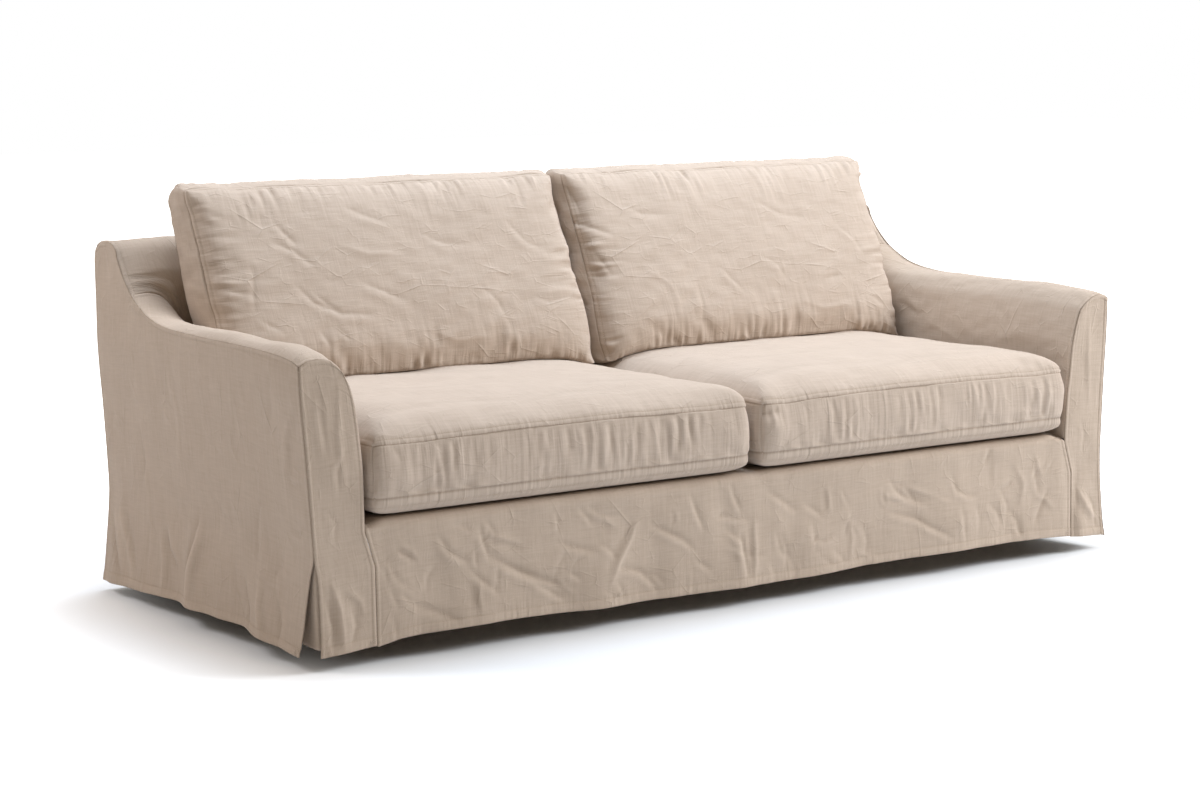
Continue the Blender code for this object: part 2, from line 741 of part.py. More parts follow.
def back_cushion(which, name, material, carrier):
    """A leaning box cushion, plump in front, with its bottom pressed to the seat it stands on."""
    low, high = BACK_SPANS[which]
    half_x = (high - low) / 2
    half_up = 0.5 * math.dist(FRONT_BOTTOM, FRONT_TOP)
    middle_x = (low + high) / 2

    def place(u, v, depth):
        up = (v + 1.0) / 2.0
        front = Vector(FRONT_BOTTOM).lerp(Vector(FRONT_TOP), up)
        rear = Vector(REAR_BOTTOM).lerp(Vector(REAR_TOP), up)
        point = front.lerp(rear, depth)
        between_seams = max(1.0 - (2.0 * depth - 1.0) ** 2, 0.0)
        lift = BACK_TOP_CROWN * smoothstep((up - BACK_CROWN_FROM) / (1.0 - BACK_CROWN_FROM)) * between_seams
        low_down = 1.0 - smoothstep((up - BACK_NARROW_TO) / (BACK_FULL_FROM - BACK_NARROW_TO))
        narrow = BACK_NARROWS * low_down * max(u * SIDE[which], 0.0)
        x = middle_x + u * half_x - SIDE[which] * narrow
        bottom = max(seat_top(which, x, point.x) + BACK_ABOVE_SEAT, BACK_LOWEST)
        sunk = (FRONT_BOTTOM.z - bottom) * (1.0 - smoothstep(up / BACK_FOLLOWS))
        return Vector((x, point.x, max(point.y + lift - sunk, bottom)))

    return cushion(name, half_x, half_up, BACK_CORNER, BACK_RINGS, place, material, carrier)


# --- Putting it together ------------------------------------------------------------------------


def clear_scene():
    for obj in list(bpy.data.objects):
        bpy.data.objects.remove(obj)


def build():
    clear_scene()
    linen = new_material("washed linen", (0.56, 0.47, 0.39), 0.92)
    cushion_linen = new_material("washed linen, cushions", (0.60, 0.52, 0.44), 0.92)
    deck_linen = new_material("plain deck cloth", (0.50, 0.42, 0.35), 0.94)

    carrier = bpy.data.objects.new("cover_origin", None)
    carrier.location = (0.0, -TOP_OF_BACK[0], CLOTH - TOP_OF_BACK[1])
    bpy.context.scene.collection.objects.link(carrier)

    for which in SIDE:
        outside_arm(which, f"outside_arm_{which}", linen, carrier)
        arm_front(which, f"arm_front_{which}", linen, carrier)
        inside_arm(which, f"inside_arm_{which}", linen, carrier)
        for place in ("front", "rear"):
            slit_insert(place, which, f"slit_insert_{place}_{which}", linen, carrier)
        seat_cushion(which, f"seat_cushion_{which}", cushion_linen, carrier)
        back_cushion(which, f"back_cushion_{which}", cushion_linen, carrier)
    inside_back("inside_back", linen, carrier)
    outside_back("outside_back", linen, carrier)
    front_apron("front_apron", linen, carrier)
    seat_deck("seat_deck", deck_linen, carrier)


build()
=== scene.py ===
"""The finish of a loose linen slipcover with sloping arms: its sewn panels and its four cushions.

Metres, +Z up, the front faces -Y. Sizes are measured from the middle of the footprint on the floor,
as a cutter would mark them, and each finished mesh is then moved to the shared origin, which lies
under the rolled top of the back.
"""

import math
from collections import namedtuple

import bmesh
import bpy
import numpy as np
from mathutils import Matrix, Vector


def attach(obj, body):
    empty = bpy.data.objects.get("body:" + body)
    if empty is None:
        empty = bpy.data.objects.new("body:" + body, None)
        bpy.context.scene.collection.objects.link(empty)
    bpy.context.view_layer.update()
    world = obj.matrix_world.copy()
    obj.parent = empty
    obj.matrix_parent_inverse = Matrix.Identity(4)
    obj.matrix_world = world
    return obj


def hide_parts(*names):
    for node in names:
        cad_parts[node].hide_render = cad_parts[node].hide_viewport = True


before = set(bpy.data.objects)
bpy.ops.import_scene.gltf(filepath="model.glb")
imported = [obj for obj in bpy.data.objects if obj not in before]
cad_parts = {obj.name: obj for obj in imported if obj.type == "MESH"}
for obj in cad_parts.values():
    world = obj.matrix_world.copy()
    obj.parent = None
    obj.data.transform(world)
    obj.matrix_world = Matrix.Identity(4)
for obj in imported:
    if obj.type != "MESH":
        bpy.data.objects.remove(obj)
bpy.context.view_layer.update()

# --- The studio ----------------------------------------------------------------------------------
# A white floor that runs into a white background, with three large soft lights: a strong one high
# at the front right, which leaves the cover's left side in half shade, a weak one at the rear left
# that lifts that side, and one overhead.

ORIGIN = np.array((0.0, 0.439, 0.816))  # the shared origin, from the middle of the footprint


def place_camera():
    """At the photograph's viewing angle."""
    data = bpy.data.cameras.new("camera")
    data.sensor_width = 36.0
    data.lens = 76.9
    camera = bpy.data.objects.new("camera", data)
    bpy.context.scene.collection.objects.link(camera)
    stands_at = Vector((-3.3225, -5.0183, 1.2029)) - Vector(ORIGIN)
    turned, tilted_down, rolled = -0.57897, 0.131516, -0.0163784
    camera.matrix_world = (
        Matrix.Translation(stands_at)
        @ Matrix.Rotation(turned, 4, "Z")
        @ Matrix.Rotation(math.pi / 2 - tilted_down, 4, "X")
        @ Matrix.Rotation(rolled, 4, "Z")
    )
    bpy.context.scene.camera = camera


def soft_light(name, place, aim, size, power, colour):
    data = bpy.data.lights.new(name, "AREA")
    data.shape = "SQUARE"
    data.size = size
    data.energy = power
    data.color = colour
    light = bpy.data.objects.new(name, data)
    light.location = place
    light.rotation_euler = (Vector(aim) - Vector(place)).to_track_quat("-Z", "Y").to_euler()
    bpy.context.scene.collection.objects.link(light)


def white_floor():
    """White paper, with painted light for the camera alone that grows into pure white with the distance."""
    half = 30.0
    mesh = bpy.data.meshes.new("studio_floor")
    corners = [(-half, -half), (half, -half), (half, half), (-half, half)]
    mesh.from_pydata([(x, y, -ORIGIN[2]) for x, y in corners], [], [(0, 1, 2, 3)])
    floor = bpy.data.objects.new("studio_floor", mesh)
    material = bpy.data.materials.new("white paper floor")
    material.use_nodes = True
    tree = material.node_tree
    shader = tree.nodes["Principled BSDF"]
    shader.inputs["Base Color"].default_value = (0.865, 0.885, 0.905, 1.0)
    shader.inputs["Roughness"].default_value = 0.8
    shader.inputs["Specular IOR Level"].default_value = 0.1
    place = tree.nodes.new("ShaderNodeTexCoord")
    away = tree.nodes.new("ShaderNodeVectorMath")
    away.operation = "DISTANCE"
    away.inputs[1].default_value = -ORIGIN
    tree.links.new(place.outputs["Object"], away.inputs[0])
    # Painted light: a glow for the camera alone, stronger with distance, which also lightens the cover's
    # shadow.
    painted_glow = tree.nodes.new("ShaderNodeMapRange")
    painted_glow.interpolation_type = "SMOOTHSTEP"
    for socket, value in (("From Min", 0.97), ("From Max", 2.05), ("To Min", 0.0), ("To Max", 1.35)):
        painted_glow.inputs[socket].default_value = value
    tree.links.new(away.outputs["Value"], painted_glow.inputs["Value"])
    ray = tree.nodes.new("ShaderNodeLightPath")
    seen = tree.nodes.new("ShaderNodeMath")
    seen.operation = "MULTIPLY"
    tree.links.new(painted_glow.outputs["Result"], seen.inputs[0])
    tree.links.new(ray.outputs["Is Camera Ray"], seen.inputs[1])
    tree.links.new(seen.outputs["Value"], shader.inputs["Emission Strength"])
    shader.inputs["Emission Color"].default_value = (1.0, 1.0, 1.0, 1.0)
    mesh.materials.append(material)
    bpy.context.scene.collection.objects.link(floor)


def white_surroundings(colour, strength):
    """Pure white behind the cover, and a weaker white from all around as soft light."""
    world = bpy.data.worlds.new("white studio")
    world.use_nodes = True
    tree = world.node_tree
    lit = tree.nodes["Background"]
    lit.inputs["Color"].default_value = (*colour, 1.0)
    lit.inputs["Strength"].default_value = strength
    seen = tree.nodes.new("ShaderNodeBackground")
    seen.inputs["Color"].default_value = (1.0, 1.0, 1.0, 1.0)
    ray = tree.nodes.new("ShaderNodeLightPath")
    either = tree.nodes.new("ShaderNodeMixShader")
    tree.links.new(ray.outputs["Is Camera Ray"], either.inputs["Fac"])
    tree.links.new(lit.outputs["Background"], either.inputs[1])
    tree.links.new(seen.outputs["Background"], either.inputs[2])
    tree.links.new(either.outputs["Shader"], tree.nodes["World Output"].inputs["Surface"])
    bpy.context.scene.world = world


place_camera()
white_floor()
white_surroundings((1.0, 0.87, 0.72), 0.30)
soft_light("key light", (3.7, -2.75, 2.25), (0.0, -0.3, -0.4), 2.4, 252.0, (0.94, 0.965, 1.0))
soft_light("left light", (-2.9, 0.8, 1.7), (-0.8, -0.4, -0.4), 1.2, 39.0, (1.0, 0.95, 0.95))
soft_light("top light", (0.2, 0.0, 3.0), (0.1, -0.2, -0.5), 2.2, 127.0, (0.75, 0.86, 1.0))
bpy.context.scene.view_settings.view_transform = "Standard"

# --- Outside arm panels --------------------------------------------------------------------------
# The two big side panels, of washed slub linen about 2 mm thick with its seams. Each is cut in one
# piece from the hem up to the S-shaped crest seam over the arm and the side of the back, sewn down
# to the top of the corner slits, and hemmed below. The skirt hangs in soft folds.

CLOTH = 0.002
GAP = 0.0003  # between the two sheets of a seam
LAP = CLOTH + GAP
SIDE = {"left": -1, "right": 1}
FRONT = -0.522  # the plane of the apron and the arm fronts
SLIT_TOP = 0.236
SLIT_REACH = 0.25  # the share of the side panel that a slit's flap pulls along

Flare = namedtuple("Flare", "z half_width")
FLARE = (
    Flare(0.030, 1.089),
    Flare(0.080, 1.081),
    Flare(0.130, 1.076),
    Flare(0.190, 1.071),
    Flare(0.236, 1.069),
    Flare(0.300, 1.072),
    Flare(0.440, 1.080),
    Flare(0.540, 1.087),
    Flare(0.600, 1.089),
    Flare(0.700, 1.087),
    Flare(0.820, 1.085),
)
Rear = namedtuple("Rear", "z y")
REAR = (
    Rear(0.030, 0.528),
    Rear(0.080, 0.529),
    Rear(0.130, 0.527),
    Rear(0.190, 0.522),
    Rear(0.236, 0.516),
    Rear(0.300, 0.512),
    Rear(0.400, 0.509),
    Rear(0.520, 0.505),
    Rear(0.620, 0.504),
    Rear(0.700, 0.507),
    Rear(0.765, 0.509),
    Rear(0.781, 0.507),
    Rear(0.798, 0.500),
)
Crest = namedtuple("Crest", "y z")
CREST = (
    Crest(-0.522, 0.617),
    Crest(-0.489, 0.626),
    Crest(-0.420, 0.633),
    Crest(-0.300, 0.638),
    Crest(-0.060, 0.640),
    Crest(0.090, 0.644),
    Crest(0.164, 0.651),
    Crest(0.220, 0.663),
    Crest(0.260, 0.680),
    Crest(0.297, 0.700),
    Crest(0.330, 0.727),
    Crest(0.351, 0.749),
    Crest(0.375, 0.780),
    Crest(0.389, 0.799),
    Crest(0.414, 0.814),
    Crest(0.439, 0.818),
    Crest(0.466, 0.8165),
    Crest(0.500, 0.798),
)
Slit = namedtuple("Slit", "z side end")
SLIT = (
    Slit(0.030, 0.033, 0.028),
    Slit(0.085, 0.027, 0.021),
    Slit(0.120, 0.024, 0.017),
    Slit(0.155, 0.020, 0.013),
    Slit(0.190, 0.013, 0.008),
    Slit(SLIT_TOP, 0.0, 0.0),
    Slit(0.900, 0.0, 0.0),
)
SPREAD = {
    ("front", "left"): 1.00,
    ("front", "right"): 0.12,
    ("rear", "left"): 0.20,
    ("rear", "right"): 0.50,
}
Hem = namedtuple("Hem", "at z")
SIDE_HEM = (
    Hem(-0.522, 0.030),
    Hem(-0.353, 0.038),
    Hem(-0.204, 0.045),
    Hem(0.079, 0.043),
    Hem(0.323, 0.034),
    Hem(0.530, 0.026),
)
Fold = namedtuple("Fold", "at width reach height")
SIDE_FOLDS = {
    "left": (
        Fold(-0.450, 0.045, 0.004, 0.20),
        Fold(-0.320, 0.060, 0.012, 0.24),
        Fold(-0.205, 0.040, -0.005, 0.20),
        Fold(-0.100, 0.060, 0.006, 0.24),
        Fold(0.020, 0.055, 0.016, 0.30),
        Fold(0.115, 0.040, -0.005, 0.26),
        Fold(0.300, 0.070, 0.006, 0.34),
        Fold(0.450, 0.050, 0.008, 0.38),
    ),
    "right": (
        Fold(-0.460, 0.045, 0.006, 0.24),
        Fold(-0.280, 0.070, 0.010, 0.26),
        Fold(-0.150, 0.045, -0.005, 0.20),
        Fold(0.010, 0.060, 0.009, 0.30),
        Fold(0.190, 0.055, 0.013, 0.26),
        Fold(0.420, 0.060, 0.007, 0.34),
    ),
}

# Creases in the cloth: how deep and how wide each is, and the line it takes on the panel, here by y
# and z. A depth of more than 0 is a trough, and one of less than 0 a ridge.
Crease = namedtuple("Crease", "depth width points")
SIDE_CREASES = {
    "left": (
        Crease(0.0061, 0.0088, ((0.010, 0.245), (0.038, 0.185), (0.072, 0.120), (0.080, 0.050))),
        Crease(-0.0061, 0.0096, ((0.000, 0.215), (0.030, 0.130), (0.040, 0.042))),
        Crease(0.0051, 0.0080, ((0.185, 0.205), (0.165, 0.150), (0.120, 0.110))),
        Crease(-0.0051, 0.0096, ((0.215, 0.190), (0.190, 0.120), (0.195, 0.050))),
        Crease(0.0061, 0.0112, ((0.495, 0.190), (0.450, 0.110), (0.410, 0.040))),
        Crease(-0.0051, 0.0096, ((0.445, 0.210), (0.385, 0.120), (0.350, 0.040))),
        Crease(0.0051, 0.0080, ((-0.215, 0.150), (-0.245, 0.090), (-0.262, 0.040))),
        Crease(-0.0051, 0.0088, ((-0.290, 0.170), (-0.300, 0.100), (-0.325, 0.040))),
        Crease(0.0040, 0.0072, ((-0.375, 0.130), (-0.395, 0.080), (-0.392, 0.038))),
        Crease(0.0025, 0.0056, ((-0.425, 0.400), (-0.455, 0.374), (-0.512, 0.380))),
        Crease(0.0018, 0.0048, ((-0.095, 0.408), (-0.120, 0.394), (-0.150, 0.390))),
        Crease(0.0022, 0.0056, ((-0.518, 0.300), (-0.470, 0.275), (-0.430, 0.282))),
        Crease(-0.0029, 0.0096, ((-0.500, 0.560), (-0.440, 0.470), (-0.420, 0.330))),
        Crease(0.0025, 0.0080, ((-0.300, 0.330), (-0.270, 0.250), (-0.280, 0.180))),
        Crease(0.0022, 0.0064, ((0.300, 0.420), (0.290, 0.330), (0.320, 0.260))),
        Crease(-0.0022, 0.0080, ((0.120, 0.560), (0.080, 0.450), (0.100, 0.330))),
        Crease(0.0018, 0.0064, ((-0.060, 0.300), (-0.110, 0.265), (-0.170, 0.255))),
    ),
    "right": (
        Crease(0.0047, 0.0096, ((0.210, 0.240), (0.180, 0.150), (0.165, 0.045))),
        Crease(-0.0047, 0.0104, ((0.030, 0.225), (0.010, 0.140), (0.020, 0.045))),
        Crease(0.0039, 0.0080, ((-0.230, 0.200), (-0.250, 0.120), (-0.245, 0.045))),
        Crease(-0.0034, 0.0088, ((-0.380, 0.190), (-0.370, 0.120), (-0.395, 0.045))),
        Crease(0.0039, 0.0096, ((0.430, 0.230), (0.400, 0.140), (0.385, 0.040))),
        Crease(0.0022, 0.0064, ((-0.420, 0.390), (-0.460, 0.370), (-0.510, 0.376))),
        Crease(0.0022, 0.0072, ((0.140, 0.400), (0.110, 0.310), (0.125, 0.230))),
        Crease(-0.0022, 0.0080, ((-0.100, 0.520), (-0.150, 0.420), (-0.140, 0.320))),
    ),
}


def smoothstep(t):
    t = np.clip(t, 0.0, 1.0)
    return t * t * (3.0 - 2.0 * t)


def mix(a, b, t):
    return a + (b - a) * t


def read(table, at):
    """The second column of a table at values of its first, on a smooth curve without overshoot."""
    keys = np.array([row[0] for row in table], float)
    values = np.array([row[1] for row in table], float)
    steps = np.diff(keys)
    grades = np.diff(values) / steps
    slopes = np.concatenate([grades[:1], np.zeros(len(keys) - 2), grades[-1:]])
    bends = grades[:-1] * grades[1:] > 0
    both = np.where(bends, grades[:-1] + grades[1:], 1.0)
    slopes[1:-1] = np.where(bends, 2.0 * grades[:-1] * grades[1:] / both, 0.0)
    at = np.clip(at, keys[0], keys[-1])
    i = np.clip(np.searchsorted(keys, at, side="right") - 1, 0, len(keys) - 2)
    t = (at - keys[i]) / steps[i]
    start, end, rise = slopes[i] * steps[i], slopes[i + 1] * steps[i], values[i + 1] - values[i]
    return values[i] + t * (start + t * (3 * rise - 2 * start - end + t * (start + end - 2 * rise)))


def along(points, shares):
    """Points at shares of the length of a smooth line through some points, one row for each share."""
    points = np.array(points, float)
    steps = np.linalg.norm(np.diff(points, axis=0), axis=1)
    marks = np.concatenate([[0.0], np.cumsum(steps)]) / steps.sum()
    return np.stack([read(list(zip(marks, column)), shares) for column in points.T], axis=-1)


def hump(at, middle, width):
    """A smooth rise to 1 in the middle, which fades over the width."""
    return np.exp(-(((at - middle) / width) ** 2))


def half_width(z):
    return read(FLARE, z)


def opening(z, column, corner):
    return SPREAD[corner] * read([(row.z, getattr(row, column)) for row in SLIT], z)


def fold(folds, at, z, hem):
    """How far a panel's folds push it outwards at places along its hem and heights."""
    total = np.zeros(np.shape(z))
    for row in folds:
        total += row.reach * hump(at, row.at, row.width) * (1.0 - smoothstep((z - hem) / row.height))
    return total


def creased(rows, across, up):
    """The relief of listed creases: a pinched trough or ridge with a soft lip on one side."""
    relief = np.zeros(across.shape)
    for row in rows:
        points = np.array(row.points)
        lengths = np.linalg.norm(np.diff(points, axis=0), axis=1)
        nearest = np.full(across.shape, np.inf)
        signed, reached, run = np.zeros(across.shape), np.zeros(across.shape), 0.0
        for start, end, length in zip(points, points[1:], lengths):
            direction = (end - start) / length
            off_x, off_y = across - start[0], up - start[1]
            t = np.clip((off_x * direction[0] + off_y * direction[1]) / length, 0.0, 1.0)
            off_x, off_y = off_x - t * length * direction[0], off_y - t * length * direction[1]
            distance = np.hypot(off_x, off_y)
            closer = distance < nearest
            nearest = np.where(closer, distance, nearest)
            signed = np.where(closer, off_x * direction[1] - off_y * direction[0], signed)
            reached = np.where(closer, run + t * length, reached)
            run += length
        fade = np.sin(math.pi * np.clip(reached / run, 0.0, 1.0)) ** 0.7
        sharp = -np.exp(-np.hypot(nearest, 0.0008) / (0.75 * row.width))
        lip = 0.45 * hump(signed, 2.2 * row.width, 1.6 * row.width)
        relief += row.depth * fade * (sharp + lip)
    return relief


def strewn(seed, count, low, high, headings, crease, length):
    """Small creases like a given one, strewn at random over an area: short lines with a slight bend."""
    rng = np.random.default_rng(seed)
    least, most = (*low, headings[0], -0.6, 0.6, 0.5, -0.35), (*high, headings[1], 0.6, 1.4, 1.0, 0.65)
    rows = []
    for across, up, turn, bend, size, deep, sign in rng.uniform(least, most, (count, 7)):
        step = 0.5 * length * size
        middle = (across + step * math.cos(turn), up + step * math.sin(turn))
        end = (middle[0] + step * math.cos(turn + bend), middle[1] + step * math.sin(turn + bend))
        depth = math.copysign(crease.depth * deep, sign)
        rows.append(Crease(depth, crease.width * size, ((across, up), middle, end)))
    return rows


def waves(across, up, length, seed, stretch=1.0):
    """Smooth random waves of about one length over a surface, from about -1 to 1."""
    count = 14
    rng = np.random.default_rng(seed)
    total = np.zeros(np.shape(across))
    for turn, shift, size in rng.uniform((0, 0, 0.7), (math.pi, 2 * math.pi, 1.5), (count, 3)):
        steps = 2 * math.pi / (length * size)
        total += np.cos(steps * (across * math.cos(turn) + up / stretch * math.sin(turn)) + shift)
    return total / math.sqrt(count / 2)


def crumpled(across, up, seed, stretch=1.0):
    """The all-over unevenness of washed linen: soft swells, large and small."""
    relief = 0.0012 * waves(across, up, 0.23, seed)
    return relief + 0.0004 * waves(across, up, 0.075, seed + 2, stretch)


EDGE_LINES = {  # where the grid of a panel needs lines, from an edge inwards
    "seam": (0.0, 0.0012, 0.0030, 0.0065, 0.0085, 0.0100, 0.0115, 0.0140),
    "hem": (0.0, 0.0015, 0.0040, 0.0180, 0.0200, 0.0220, 0.0250),
    "open": (0.0,),
}
STITCH_LINE = {"seam": 0.0100, "hem": 0.0200}
STITCH_WIDTH = 0.0018  # of the dip along a row of stitches
PUCKERED = {"seam": 0.6, "hem": 0.8, "open": 0.0}
PUCKERS_REACH = 0.03


def grid_lines(length, spacing, start, end):
    """Places along a length: an even spacing, with closer lines beside its sewn or hemmed edges."""
    low, high = np.array(EDGE_LINES[start]), length - np.array(EDGE_LINES[end])
    steps = max(2, round((high.min() - low.max()) / spacing))
    return np.concatenate([low, np.linspace(low.max(), high.min(), steps + 1)[1:-1], high[::-1]])


def edge_relief(kind, distance):
    """How a panel's face dips at a seam and at its row of topstitching, or thickens at a hem."""
    if kind == "open":
        return np.zeros(distance.shape)
    stitched = -0.0007 * hump(distance, STITCH_LINE[kind], STITCH_WIDTH)
    if kind == "seam":
        folded_under = smoothstep(distance / 0.004) * (1.0 - smoothstep((distance - 0.009) / 0.003))
        return stitched + 0.0007 * folded_under - 0.0010 * hump(distance, 0.0, STITCH_WIDTH)
    turned_up = 1.0 - smoothstep((distance - 0.0185) / 0.003)
    return stitched + 0.0009 * turned_up - 0.0008 * hump(distance, 0.0, 0.0015)


def pucker_places(distances, lengthways, strengths):
    """For each point: where it is along its nearest seam, how far from it, and how puckered it is."""
    distances, lengthways = np.stack(distances), np.stack(lengthways)
    nearest = np.argmin(distances, axis=0)[None]
    along_seam = np.take_along_axis(lengthways, nearest, axis=0)[0] + 7.0 * nearest[0]
    ordered = np.sort(distances, axis=0)
    apart = smoothstep((ordered[1] - ordered[0]) / 0.02) if len(ordered) > 1 else 1.0
    strength = np.array(strengths)[nearest[0]] * apart
    return np.stack([along_seam, ordered[0], strength], axis=-1)


def write_cloth_marks(mesh, puckers, from_seam, from_stitches, raised):
    """What the weave is told of each point: its puckers, and for painted shade its seams and relief."""
    # Painted shade and light: the weave darkens troughs and lightens ridges by how far a point stands out.
    relief_shade_and_light = np.clip(raised / 0.003, -1.0, 1.0)
    seams = np.stack([from_seam, from_stitches, relief_shade_and_light], axis=-1)
    for name, marks in (("pucker", puckers), ("seams", seams)):
        written = mesh.attributes.new(name, "FLOAT_VECTOR", "POINT")
        written.data.foreach_set("vector", marks.astype(np.float32).ravel())


def surface_normals(points, outward):
    normals = np.cross(np.gradient(points, axis=1), np.gradient(points, axis=0))
    normals /= np.maximum(np.linalg.norm(normals, axis=2, keepdims=True), 1e-12)
    middle = normals[normals.shape[0] // 2, normals.shape[1] // 2]
    return normals if middle @ np.array(outward, float) > 0 else -normals


def pulled(items, name, width=1):
    """A whole number, or a row of a few lengths, for each of a mesh's points, faces or corners."""
    values = np.zeros(len(items) * width, np.int32 if width == 1 else np.float32)
    items.foreach_get(name, values)
    return values if width == 1 else values.reshape(-1, width).astype(float)


def write_cloth_map(mesh, on_corners):
    """A map of the flat cloth, in metres, at each face's corners, which the weave follows."""
    cloth_map = mesh.uv_layers.new(name="cloth")
    cloth_map.data.foreach_set("uv", on_corners.astype(np.float32).ravel())


def panel_mesh(name, points, outward, material):
    """A panel of cloth through a grid of outer points, with its thickness behind them."""
    rows, columns = points.shape[:2]
    corner = (np.arange(rows - 1)[:, None] * columns + np.arange(columns - 1)).ravel()
    faces = np.stack([corner, corner + 1, corner + columns + 1, corner + columns], axis=1)
    middle = points[rows // 2, columns // 2]
    across, up = points[rows // 2, columns // 2 + 1] - middle, points[rows // 2 + 1, columns // 2] - middle
    if np.cross(across, up) @ np.array(outward, float) < 0:
        faces = faces[:, ::-1]
    mesh = bpy.data.meshes.new(name)
    mesh.from_pydata((points - ORIGIN).reshape(-1, 3).tolist(), [], faces.tolist())
    steps_across = np.linalg.norm(np.diff(points, axis=1), axis=2)
    steps_up = np.linalg.norm(np.diff(points, axis=0), axis=2)
    u = np.concatenate([np.zeros((rows, 1)), np.cumsum(steps_across, axis=1)], axis=1)
    v = np.concatenate([np.zeros((1, columns)), np.cumsum(steps_up, axis=0)], axis=0)
    u -= u[:, columns // 2 : columns // 2 + 1]
    write_cloth_map(mesh, np.stack([u.ravel(), v.ravel()], axis=1)[pulled(mesh.loops, "vertex_index")])
    mesh.materials.append(material)
    mesh.shade_smooth()
    piece = bpy.data.objects.new(name, mesh)
    bpy.context.scene.collection.objects.link(piece)
    thickness = piece.modifiers.new("Cloth thickness", "SOLIDIFY")
    thickness.thickness = CLOTH
    thickness.offset = -1.0
    thickness.use_even_offset = True
    return piece


def node(tree, kind, **inputs):
    """A shader node with its input sockets set to values or joined to other nodes' outputs."""
    made = tree.nodes.new(kind)
    for socket, value in inputs.items():
        join(tree, made.inputs[socket.replace("_", " ")], value)
    return made


def join(tree, socket, value):
    if isinstance(value, bpy.types.NodeSocket):
        tree.links.new(value, socket)
    else:
        socket.default_value = value


def arithmetic(tree, operation, a, b=0.0, c=0.0):
    made = tree.nodes.new("ShaderNodeMath")
    made.operation = operation
    for socket, value in zip(made.inputs, (a, b, c)):
        join(tree, socket, value)
    return made.outputs["Value"]


def squared(tree, value):
    return arithmetic(tree, "POWER", value, 2.0)


def streaks(tree, place, scale, detail):
    """Noise drawn out along the yarns, from 0 to 1: the larger of the two scales runs across them."""
    mapping = node(tree, "ShaderNodeMapping", Vector=place, Scale=(*scale, 1.0))
    drawn = node(tree, "ShaderNodeTexNoise", Vector=mapping.outputs["Vector"], Scale=1.0, Detail=detail)
    return drawn.outputs["Fac"]


